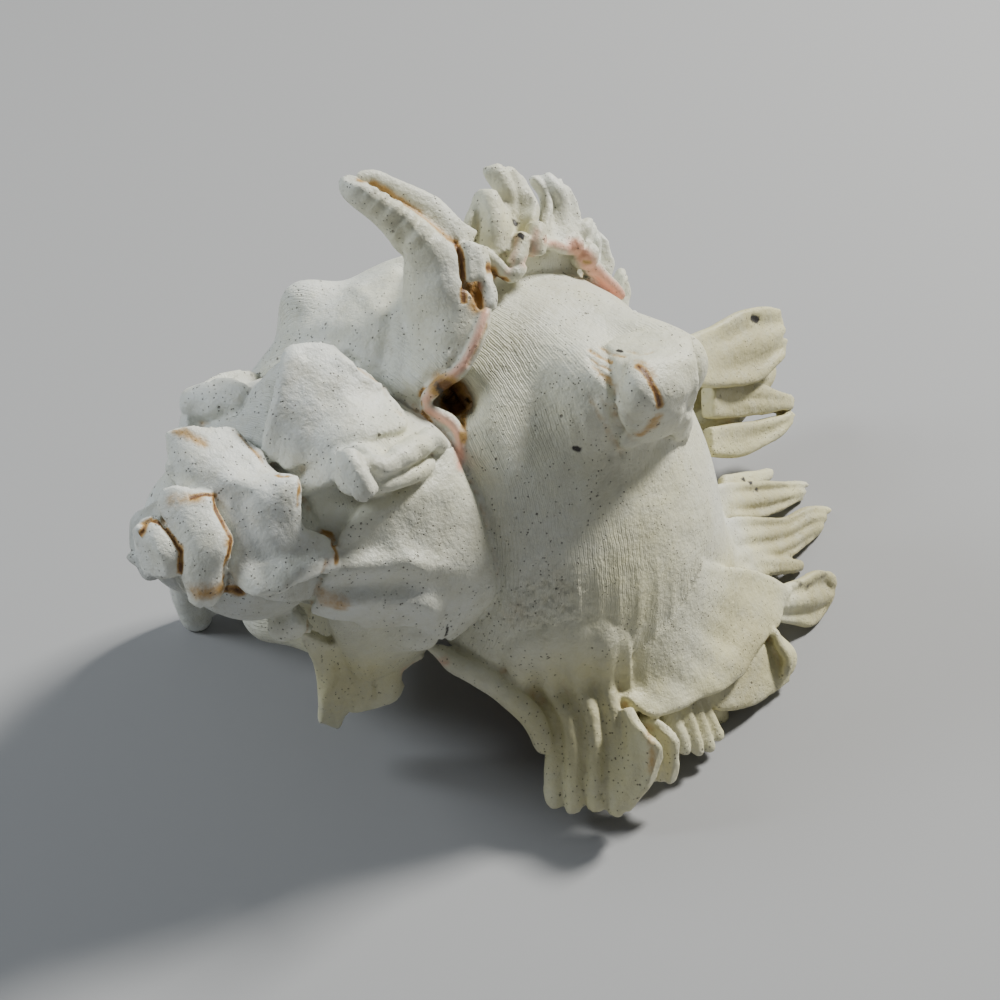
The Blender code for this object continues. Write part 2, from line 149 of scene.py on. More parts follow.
def noise(p, size, seed):
    # Smooth noise from -1 to 1: hashed values at the corners of a lattice of cells of that
    # size, blended across each cell. The large odd numbers only mix the bits of the hash.
    q = p / size
    i = np.floor(q).astype(np.int64)
    f = q - i
    f = f * f * (3.0 - 2.0 * f)
    total = np.zeros(len(p))
    for corner in range(8):
        c = np.array([corner & 1, corner >> 1 & 1, corner >> 2 & 1])
        k = i + c
        h = (k[:, 0] * 73856093) ^ (k[:, 1] * 19349663) ^ (k[:, 2] * 83492791) ^ (seed * 40503)
        h = ((h ^ (h >> 13)) * 1274126177) & 0xFFFFFFFF
        h = (h ^ (h >> 15)) & 0xFFFF
        total += h / 65535.0 * np.prod(np.where(c == 1, f, 1.0 - f), axis=1)
    return 2.0 * total - 1.0


relief = {
    # knobs: growth angle, s, height, reach before and after the top along the growth, and
    # reach along s
    "knobs": (
        (-88.0, 0.29, 9.0, 13.0, 10.0, 10.0),
        (-89.0, 0.43, 15.0, 12.0, 10.0, 10.0),
        (-84.0, 0.36, 6.0, 15.0, 12.0, 14.0),
        (-167.0, 0.19, 9.0, 10.0, 9.0, 9.0),
        (-300.0, 0.26, 8.0, 14.0, 14.0, 12.0),
        (-384.0, 0.36, 9.0, 13.0, 13.0, 11.0),
        (-496.0, 0.25, 17.0, 13.0, 12.0, 12.0),
        (-492.0, 0.38, 14.0, 13.0, 13.0, 12.0),
        (-622.0, 0.26, 9.0, 16.0, 16.0, 14.0),
        (-811.0, 0.36, 10.0, 13.0, 13.0, 12.0),
        (-965.0, 0.26, 9.0, 20.0, 20.0, 16.0),
        (-1146.0, 0.30, 14.0, 20.0, 20.0, 18.0),
        (-1290.0, 0.26, 8.0, 20.0, 20.0, 18.0),
        (-1400.0, 0.26, 8.0, 20.0, 20.0, 18.0),
    ),
    "knobPowers": (1.6, 2.6, 2.2),  # how blunt a knob is before its top, after it and across
    # ribs: crest, degrees it takes to rise, hollowness of its back, then its height and the
    # shift of its crest read along s
    "ribs": (
        (-4.0, 34.0, 2.0,
         ((0.0, -2.0), (0.1, -3.5), (0.2, -2.0), (0.26, 2.0), (0.34, 8.0), (0.9, 8.0), (1.0, 4.0)),
         ((0.0, 0.0), (0.15, 0.0), (0.8, -21.0), (1.0, -21.0))),
        (-112.0, 17.0, 0.9,
         ((0.0, 1.0), (0.03, 1.5), (0.08, 3.0), (0.2, 5.0), (0.3, 6.0), (0.5, 4.0), (1.0, 3.0)),
         ((0.0, 32.0), (0.012, 22.0), (0.03, 10.0), (0.08, 7.0), (0.14, 1.0), (0.21, -6.0),
          (0.3, -9.0), (1.0, -8.0))),
        (-258.0, 26.0, 1.3, ((0.0, 1.0), (0.2, 8.0), (0.9, 5.0), (1.0, 3.0)), ((0.0, 0.0), (1.0, 0.0))),
        (-336.0, 30.0, 1.6, ((0.0, 0.0), (0.15, 0.0), (0.3, 5.0), (1.0, 5.0)), ((0.0, 0.0), (1.0, 0.0))),
        (-446.0, 34.0, 1.1,
         ((0.0, 1.0), (0.08, 5.0), (0.16, 13.0), (0.3, 12.0), (0.45, 8.0), (1.0, 5.0)),
         ((0.0, 0.0), (1.0, 0.0))),
        (-540.0, 28.0, 1.3, ((0.0, 1.0), (0.2, 9.0), (1.0, 5.0)), ((0.0, 0.0), (1.0, 0.0))),
        (-750.0, 64.0, 0.9, ((0.0, 1.5), (0.2, 15.0), (1.0, 11.0)), ((0.0, 0.0), (1.0, 0.0))),
        (-874.0, 34.0, 1.3, ((0.0, 1.5), (0.2, 12.0), (1.0, 8.0)), ((0.0, 0.0), (1.0, 0.0))),
        (-1082.0, 44.0, 1.3, ((0.0, 1.5), (0.2, 14.0), (1.0, 8.0)), ((0.0, 0.0), (1.0, 0.0))),
        (-1206.0, 34.0, 1.2, ((0.0, 1.5), (0.2, 14.0), (1.0, 8.0)), ((0.0, 0.0), (1.0, 0.0))),
        (-1345.0, 34.0, 1.2, ((0.0, 1.0), (0.2, 10.0), (1.0, 8.0)), ((0.0, 0.0), (1.0, 0.0))),
    ),
    "ribFall": 2.2,  # degrees in which a rib drops in front of its crest
    "moat": 0.35,  # how far the shell dips in front of a rib, as a share of the rib's height
    "moatAt": (4.0, 8.0),  # degrees from the crest to the middle of the dip, and its reach
    "flats": (0.08, 0.20, 0.06, 0.06, 0.05, 0.06, 0.06, 0.06, 0.05, 0.05),  # hollowing between ribs
    "flatSkew": 0.75,  # under 1 the hollow lies nearer to the older rib
    "flatFrom": 0.22,  # s at which it is full
    "collar": 1.4,  # height of each whorl's edge over the whorl before it
    "collarEdge": (0.02, 0.06),  # s between which the collar ends
    "collarFrom": (-40.0, -110.0),  # growth angles between which it rises in older shell
    "pits": (
        (-99.5, 0.06, 8.5, 6.5, 6.0), (-195.0, 0.14, 4.0, 22.0, 20.0), (-345.0, 0.05, 6.0, 26.0, 11.0),
        (-322.0, 0.10, 24.0, 34.0, 22.0),
    ),  # growth angle, s, depth and the two reaches
    "degree": math.radians(1.0) * 62.0,  # length of a degree of growth at the lip, mm
    "across": 150.0,  # length of the outline, mm
}


def readAlong(table, s):
    # The table's second numbers, read at s between its first ones.
    return np.interp(s, [p[0] for p in table], [p[1] for p in table])


def lipSlant(s):
    # Degrees by which the lip's rib lies behind the growth angle 0, across the whorl.
    return readAlong(relief["ribs"][0][4], s)


def liftOf(t, s):
    # Height over the plain coil: a bell for each knob, and for each rib a rise to its crest
    # and a quick fall in front of it, its height read along s.
    lift = np.zeros(np.broadcast(t, s).shape)
    powerBefore, powerAfter, powerAcross = relief["knobPowers"]
    for at, place, height, before, after, tall in relief["knobs"]:
        run = np.abs(t - at) * relief["degree"] / np.where(t < at, before, after)
        aside = np.abs(s - place) * relief["across"] / tall
        along = run ** np.where(t < at, powerBefore, powerAfter)
        lift = lift + height * np.exp(-along - aside**powerAcross)
    dipAt, dipReach = relief["moatAt"]
    for at, rise, hollow, heights, shifts in relief["ribs"]:
        crest = at + readAlong(shifts, s)
        up = smoothStep(crest - rise, crest, t) ** hollow
        down = 1.0 - smoothStep(crest, crest + relief["ribFall"], t)
        moat = relief["moat"] * np.exp(-(((t - crest - dipAt) / dipReach) ** 2))
        lift = lift + readAlong(heights, s) * np.where(t < crest, up, down - moat)
    for at, place, depth, wide, tall in relief["pits"]:
        run = (t - at) * relief["degree"] / wide
        lift = lift - depth * np.exp(-(run**2) - ((s - place) * relief["across"] / tall) ** 2)
    edge = 1.0 - smoothStep(*relief["collarEdge"], s)
    return lift + relief["collar"] * edge * smoothStep(*relief["collarFrom"], t)


def flatOf(t, s):
    # Share of the radius that is left between two ribs: 1 less a squared sine over the gap.
    share = np.zeros(np.broadcast(t, s).shape)
    for k, depth in enumerate(relief["flats"]):
        old, new = relief["ribs"][k + 1][0], relief["ribs"][k][0]
        w = np.clip((t - old) / (new - old), 0.0, 1.0)
        share = share + depth * np.sin(np.pi * w ** relief["flatSkew"]) ** 2
    return 1.0 - share * smoothStep(0.0, relief["flatFrom"], s)


def whorlPoint(t, s, inset=0.0, keep=1.0):
    # The outline grown by its factor per turn and spun about the axis, moved along its own
    # normal by the lift.
    t, s = np.broadcast_arrays(np.asarray(t, float), np.asarray(s, float))
    p = throughPoints(coil["outline"], s)
    q = throughPoints(coil["outline"], np.clip(s + 1e-3, 0, 1))
    q = unit(q - throughPoints(coil["outline"], np.clip(s - 1e-3, 0, 1)))
    lift = liftOf(t, s) * keep - inset
    g = growth(t)
    rho = g * (p[..., 0] * flatOf(t, s) + q[..., 1] * lift)
    x = g * (p[..., 1] - q[..., 0] * lift)
    return spun(rho, x, t)


def ringFaces(rows, columns):
    # Four-sided faces from each ring of points to the next, closed round.
    r = np.arange(rows - 1)[:, None] * columns
    c = np.arange(columns)[None, :]
    n = (c + 1) % columns
    return np.stack([r + c, r + n, r + columns + n, r + columns + c], axis=-1).reshape(-1, 4)


def closedTube(rings, marks):
    # Rings of points joined one to the next, with the first and last ring filled to their
    # middles. Marks are four numbers for each point, kept as the mesh's coil attribute: growth
    # angle, s, share of a frond's length, and 1 inside the aperture.
    rows, columns = rings.shape[:2]
    middles = np.stack([rings[0].mean(0), rings[-1].mean(0)])
    points = np.concatenate([rings.reshape(-1, 3), middles])
    marks = np.concatenate([marks.reshape(-1, 4), marks[0].mean(0)[None], marks[-1].mean(0)[None]])
    first = rows * columns
    end = (rows - 1) * columns
    i = np.arange(columns)
    j = (i + 1) % columns
    caps = np.concatenate(
        [
            np.stack([np.full(columns, first), j, i], axis=-1),
            np.stack([np.full(columns, first + 1), end + i, end + j], axis=-1),
        ]
    )
    return points, ringFaces(rows, columns), caps, marks


mouth = {
    "pillar": (
        (26.0, 164.0), (19.0, 161.0), (15.5, 150.0), (15.0, 132.0), (16.0, 116.0), (19.0, 101.0),
        (24.0, 89.0), (31.0, 80.0), (37.0, 74.0),
    ),  # the inner side of the aperture, from the canal up to the suture
    "span": (0.035, 0.90),  # s between which it opens
    "depth": 190.0,  # degrees of growth that the hollow runs back behind the lip
    "firstRings": (0.4, 1.5),  # degrees behind the lip of its first two rings
    "rows": 150,
    "straight": 80.0,  # degrees in which the lip's slant leaves the hollow
    "plain": (24.0, 60.0),  # and between which the outer relief does
    "wall": 2.6,  # thickness at the lip, mm
    "thicker": ((3.0, 0.0, 40.0), (5.0, 60.0, 190.0)),  # mm that are added, and between which degrees
    "swell": 0.12,  # share by which the pillar widens deep inside
    "narrow": (0.3, 60.0),  # share by which the hollow narrows to its end, and from which degree
}


def whorls():
    # The outline and a core near the axis, carried along the coil, then turned in at the lip
    # and carried back as the wall of the aperture.
    crest = relief["ribs"][0][0]
    wideTo, closeFrom = coil["closer"]
    old = np.linspace(coil["firstTurn"], wideTo, coil["rows"] * 2 // 3)
    new = np.linspace(closeFrom, crest, coil["rows"] // 3)
    t = np.concatenate([old, new])
    s = np.linspace(0.0, 1.0, coil["columns"])
    slant = smoothStep(coil["slantFrom"], 0.0, t)[:, None]
    turned = t[:, None] + lipSlant(s)[None, :] * slant
    outer = whorlPoint(turned, s[None, :])
    outerMarks = np.stack([turned, np.broadcast_to(s, turned.shape)], axis=-1)
    inward = np.linspace(1.0, 0.0, coil["coreColumns"])[1:-1]
    turned = t[:, None] + lipSlant(inward)[None, :] * slant
    core = throughPoints(coil["core"], 1.0 - inward)
    g = growth(turned)
    inner = spun(g * core[None, :, 0], g * core[None, :, 1], turned)
    innerMarks = np.stack([turned, np.broadcast_to(inward, turned.shape)], axis=-1)
    body = np.concatenate([outer, inner], axis=1)
    bodyMarks = np.concatenate([outerMarks, innerMarks], axis=1)

    firstRing, nextRing = mouth["firstRings"]
    back = np.linspace(nextRing, mouth["depth"], mouth["rows"])
    back = crest - np.concatenate([[firstRing], back])[:, None]
    deep = smoothStep(0.0, mouth["straight"], -back)
    keep = 1.0 - smoothStep(*mouth["plain"], -back)
    wall = mouth["wall"]
    for more, fromDegree, toDegree in mouth["thicker"]:
        wall = wall + more * smoothStep(fromDegree, toDegree, -back)
    low, high = mouth["span"]
    arch = np.linspace(low, high, coil["columns"])[None, :]
    outside = whorlPoint(back + lipSlant(arch) * (1.0 - deep), arch, wall, keep)
    pillar = throughPoints(mouth["pillar"], np.linspace(0, 1, coil["coreColumns"])[1:-1])
    turned = back + lipSlant(np.linspace(high, low, coil["coreColumns"])[1:-1])[None, :] * (1.0 - deep)
    g = growth(turned)
    swell = 1.0 + mouth["swell"] * deep
    inside = spun(g * pillar[None, :, 0] * swell, g * pillar[None, :, 1], turned)
    walls = np.concatenate([outside, inside], axis=1)
    middle = walls.mean(axis=1, keepdims=True)
    share, fromDegree = mouth["narrow"]
    narrow = 1.0 - share * deep**2 * smoothStep(fromDegree, mouth["depth"], -back)
    walls = middle + (walls - middle) * narrow[..., None]

    rings = np.concatenate([body, walls], axis=0)
    marks = np.zeros(rings.shape[:2] + (4,))
    marks[: len(t), :, :2] = bodyMarks
    marks[len(t):, :, 0] = back
    marks[len(t):, :, 1] = 0.5
    marks[len(t):, :, 3] = 1.0
    return closedTube(rings, marks)


tubeUsual = {
    "rows": 90,
    "columns": 40,
    "across": (-0.47, 0.43, 0.76),  # the way in which the first radius lies
    "blunt": 14,  # the higher, the blunter its two ends
    "leastEnd": 0.02,  # square of the share of the radius that is left at an end
    "groove": 0.0,  # depth of the groove along it, as a share of its radius
    "grooveAt": 0.0,  # angle round the tube at which the groove runs
    "grooveWide": 0.35,
    "lump": 0.0,  # height of the lumps beside the groove, as a share of the radius
    "lumps": 0.0,  # how many of them there are
    "lumpAt": (0.75, 0.35),  # angle from the groove to the lumps, and their width
    "lumpShift": 2.0,  # how far the lumps of one side run ahead of the other's
    "hollow": 0.0,  # how deep its end is hollow, mm
    "hollowRings": ((0.6, 0.0), (0.45, 0.5), (0.2, 1.0)),  # shares of the radius and the depth
    "age": -20.0,
    "place": 0.9,
}


def tubeAlong(spec):
    # An oval tube carried along a smooth path, with a groove along one side and lumps beside
    # the groove. Its hollow end turns in and runs back a little way.
    spec = {**tubeUsual, **spec}
    u = np.linspace(0, 1, spec["rows"])
    p = throughPoints(spec["path"], u)
    d = unit(np.gradient(p, u, axis=0))
    stops = np.linspace(0, 1, len(spec["radii"]))
    wide, tall = [np.interp(u, stops, [r[k] for r in spec["radii"]])[:, None] for k in (0, 1)]
    blunt = np.sqrt(np.clip(1.0 - (2.0 * u - 1.0) ** spec["blunt"], spec["leastEnd"], 1.0))[:, None]
    wide, tall = wide * blunt, tall * blunt
    side = np.asarray(spec["across"], float)[None, :]
    side = unit(side - (side * d).sum(1, keepdims=True) * d)
    up = np.cross(d, side)
    turn = np.linspace(0, 2 * np.pi, spec["columns"] + 1)[:-1][None, :]
    apart = np.angle(np.exp(1j * (turn - spec["grooveAt"])))
    groove = spec["groove"] * np.exp(-((apart / spec["grooveWide"]) ** 2))
    lumpAt, lumpWide = spec["lumpAt"]
    beside = np.exp(-(((np.abs(apart) - lumpAt) / lumpWide) ** 2))
    ahead = np.where(apart > 0, 0.0, spec["lumpShift"])
    lumps = np.sin(u[:, None] * spec["lumps"] * 2 * np.pi + ahead)
    dent = 1.0 - groove + spec["lump"] * beside * lumps
    rings = p[:, None] + side[:, None] * (wide * np.cos(turn) * dent)[..., None]
    rings = rings + up[:, None] * (tall * np.sin(turn) * dent)[..., None]
    hollow = spec["hollow"]
    if hollow:
        last = rings[-1] - p[-1]
        inner = [p[-1] + last * a - d[-1] * hollow * b for a, b in spec["hollowRings"]]
        rings = np.concatenate([rings, np.stack(inner)])
    marks = np.zeros(rings.shape[:2] + (4,))
    marks[..., 0] = spec["age"]
    marks[..., 1] = spec["place"]
    marks[..., 2] = np.linspace(0.0, 1.0, len(rings))[:, None]
    return closedTube(rings, marks)


def bezier(p0, p1, p2, p3, u):
    # The cubic curve from the first point to the last, drawn towards the two between them.
    u = u[:, None]
    return (1 - u) ** 3 * p0 + 3 * (1 - u) ** 2 * u * p1 + 3 * (1 - u) * u**2 * p2 + u**3 * p3


def normalsOf(mid):
    # Square to both directions of the grid, one long.
    return unit(np.cross(np.gradient(mid, axis=1), np.gradient(mid, axis=0)))


def twoSided(mid, half, age, across, share):
    # A sheet's two sides, half its thickness each way along its normals, joined round its
    # edges. Its marks are the growth angle, the place across the whorl and the share of its
    # length.
    normal = normalsOf(mid)
    rings = np.concatenate([mid + normal * half, (mid - normal * half)[:, ::-1]], axis=1)
    marks = np.zeros(rings.shape[:2] + (4,))
    marks[..., 0] = age
    marks[..., 1] = np.concatenate([across, across[::-1]])[None, :]
    marks[..., 2] = np.concatenate([share, share[:, ::-1]], axis=1)
    rows, count = rings.shape[:2]
    i = np.arange(count // 2 - 1)
    j = count - 1 - i
    last = (rows - 1) * count
    ends = [np.stack([j, j - 1, i + 1, i], axis=-1), last + np.stack([i, i + 1, j - 1, j], axis=-1)]
    quads = np.concatenate([ringFaces(rows, count)] + ends)
    return rings.reshape(-1, 3), quads, np.zeros((0, 3), int), marks.reshape(-1, 4)


leafUsual = {
    "rows": 64,
    "columns": 48,
    "outward": (0.6, 0.8),  # how it starts: towards the new growth, and away from the shell
    "handles": (0.42, 0.34),  # how far the curve runs straight at its root and at its tip
    "sink": 2.0,  # how deep its root stands in the shell, mm
    "round": 0.25,  # how much shorter its sides are than its middle
    "ragged": (0.05, 4.0),  # unevenness of its edge, and how often it changes
    "lobes": (3.0, 0.08, 1.9),  # lobes on an edge, their share of the width, shift of one edge
    "openUp": 0.4,  # share of its curl that it has lost at the tip
    "bentMost": 1.9,  # bend of an edge at a curl of 1, radians
    "pleat": 0.4,  # height of the fold along its middle, mm
    "thick": 2.3,
    "thinner": (0.4, 0.5),  # shares of the thickness that are lost at the tip and the edges
    "steps": (0.12, 1.6, 0.8, 3.0),  # growth steps: height, closeness, and their bow across it
    "spread": 0.06,  # how far its marks run across the whorl
}


def leaf(spec):
    # A hollow frond: a sheet along a cubic curve from its root to its tip, bent across into a
    # gutter that opens towards the new growth, with a fold along it and a ragged edge.
    spec = {**leafUsual, **spec}
    t, s = spec["at"]
    t = t + lipSlant(s) * (t > -30.0)  # a frond of the lip follows its slant
    root = whorlPoint(t, s)
    along = unit(whorlPoint(t + 0.4, s) - whorlPoint(t - 0.4, s))
    down = unit(whorlPoint(t, min(s + 0.004, 1)) - whorlPoint(t, max(s - 0.004, 0)))
    out = unit(np.cross(down, along))
    out = out * np.sign((out * root * np.array([0, 1, 1])).sum())
    tip = placed(spec["tip"])
    reach = np.linalg.norm(tip - root)
    ahead, away = spec["outward"]
    start = unit(along * ahead + out * away)
    end = unit(tip - root)
    sink = root - (out + start) * spec["sink"]
    u = np.linspace(0, 1, spec["rows"])
    v = np.linspace(-1, 1, spec["columns"])
    seed = int(abs(tip[0] * 13 + tip[1] * 7)) % 97
    ragged, changes = spec["ragged"]
    edge = noise(np.stack([v * changes, v * 0 + seed, v * 0], axis=1), 1.0, 5)
    cut = (1.0 - spec["round"] * v**2) * (1.0 + ragged * edge)
    uu = u[:, None] * cut[None, :]
    rootHandle, tipHandle = spec["handles"]
    curve = (sink, sink + start * reach * rootHandle, tip - end * reach * tipHandle, tip)
    p = bezier(*curve, uu.reshape(-1)).reshape(uu.shape + (3,))
    d = unit(bezier(*curve, uu.reshape(-1) + 1e-3).reshape(uu.shape + (3,)) - p)
    side = unit(down - (down * d).sum(-1, keepdims=True) * d)
    front = np.cross(side, d)
    front = front * np.sign((front * along).sum(-1, keepdims=True).mean())
    lobes, frill, shift = spec["lobes"]
    wide = np.interp(uu, np.linspace(0, 1, len(spec["width"])), spec["width"])
    wave = np.sin(lobes * np.pi * 2 * uu + np.where(v > 0, seed, seed + shift)[None, :])
    wide = wide * (1.0 + frill * wave * smoothStep(0.15, 0.5, uu) * v[None, :] ** 2)
    curl = spec["curl"] * (1.0 - spec["openUp"] * uu) * spec["bentMost"]
    x = np.sin(v[None, :] * curl) / curl * wide
    y = (1.0 - np.cos(v[None, :] * curl)) / curl * wide
    fold = np.cos(np.pi * (v + 1))[None, :] * smoothStep(0.05, 0.6, uu)
    mid = p + side * x[..., None] + front * (y + spec["pleat"] * fold)[..., None]
    atTip, atEdge = spec["thinner"]
    thick = spec["thick"] * (1.0 - atTip * uu) * 0.5 * (1.0 - atEdge * np.abs(v)[None, :] ** 6)
    thick = thick * np.where(u > 0.985, 0.5, 1.0)[:, None]  # half as thick at the very tip
    high, close, bow, bows = spec["steps"]
    step = 1.0 + high * np.sin(uu * reach * close + bow * np.cos(v * bows)[None, :])
    return twoSided(mid, (thick * step)[..., None], t, s + spec["spread"] * v, uu)


sheetUsual = {
    "rows": 44,
    "columns": 44,
    "notch": 0.03,  # how deep its far edge is notched, as a share of its length
    "pleats": 3,  # how many notches and pleats it has
    "pleat": 0.2,  # height of the pleats, mm
    "ragged": (0.025, 9.0),  # unevenness of its edge, and how often it changes
    "flute": 0.0,  # height of the flutes on one edge, mm
    "flutes": 0,
    "fluteEnd": 1.0,  # share of the length at which they end
    "thin": (0.75, 8),  # how thin its edges are worn, and how near to them that starts
    "age": -20.0,
    "place": 0.5,
    "spread": 0.05,
}


def sheet(spec):
    # A sheet through a few rows of points: a smooth curve along each row, then across the
    # rows, given thickness along its normals and worn thin at its edges.
    spec = {**sheetUsual, **spec}
    grid = np.asarray(spec["grid"], float)
    v = np.linspace(0, 1, spec["columns"])
    across = np.stack([throughPoints(row, v) for row in grid])
    wave = np.cos(2 * np.pi * spec["pleats"] * v)
    seed = int(abs(grid[0, 0, 0] * 7 + grid[0, 0, 1] * 3)) % 89
    ragged, changes = spec["ragged"]
    edge = noise(np.stack([v * changes, v * 0 + seed, v * 0], axis=1), 1.0, 6)
    cut = (1.0 - spec["notch"] * (0.5 + 0.5 * wave)) * (1.0 + ragged * edge)
    ends = np.linspace(0, 1, len(grid))
    uu = np.linspace(0, 1, spec["rows"])[:, None] * cut[None, :]
    i = np.clip(np.searchsorted(ends, uu, side="right") - 1, 0, len(grid) - 2)
    j = np.broadcast_to(np.arange(spec["columns"]), i.shape)
    x = ((uu - ends[i]) / ends[1])[..., None]
    slope = np.gradient(across, ends, axis=0)
    mid = cubic(x, ends[1], across[i, j], slope[i, j], across[i + 1, j], slope[i + 1, j])
    normal = normalsOf(mid)
    fold = wave[None, :] * smoothStep(0.05, 0.5, uu)
    mid = mid + normal * (spec["pleat"] * fold)[..., None]
    if spec["flute"]:
        fade = 1.0 - smoothStep(spec["fluteEnd"] - 0.15, spec["fluteEnd"], uu)
        flutes = np.sin(2 * np.pi * spec["flutes"] * uu + 2.0 * v[None, :]) * fade * v[None, :] ** 2
        mid = mid + normal * (spec["flute"] * flutes)[..., None]
    edge = np.maximum(np.abs(2.0 * v - 1.0)[None, :], np.linspace(-1, 1, spec["rows"])[:, None])
    worn, nearness = spec["thin"]
    thick = spec["thick"] * 0.5 * np.sqrt(np.clip(1.0 - worn * edge**nearness, 0.0, 1.0))
    return twoSided(mid, thick[..., None], spec["age"], spec["place"] + spec["spread"] * v, uu)


def backing(spec):
    # A second layer behind a sheet, as the camera sees it, that closes the slot behind it.
    grid = np.asarray(spec["grid"], float)
    return sheet({**spec, "grid": grid + spec["backed"] * unit(grid - eye)})


# Plain fronds: the root as growth angle and s, the tip as distance along the axis, distance
# from it and angle about it, half widths from root to tip, and how far it curls.
fronds = (
    dict(at=(-9, 0.51), tip=(125, 74, 146), width=(10, 7, 5, 2), curl=0.4),
    dict(at=(-119, 0.62), tip=(112, 57, 32), width=(10, 6, 5, 3), curl=0.8),
    dict(at=(-118, 0.74), tip=(126, 46, 36), width=(9, 6, 5, 3), curl=0.7),
    dict(at=(-118, 0.86), tip=(140, 33, 36), width=(8, 5, 4, 2.5), curl=0.7),
    dict(at=(-262, 0.42), tip=(78, 61, 243), width=(9, 6, 5, 3), curl=0.8),
    dict(at=(-262, 0.56), tip=(92, 53, 244), width=(9, 6, 5, 3), curl=0.8),
    dict(at=(-262, 0.72), tip=(104, 42, 243), width=(8, 5, 4, 2.5), curl=0.7),
    dict(at=(-262, 0.86), tip=(116, 32, 240), width=(7, 5, 4, 2), curl=0.7),
    dict(at=(-872, 0.14), tip=(13, 14.5, 12), width=(3.6, 3.0, 2.4, 1.6), curl=0.8),
)

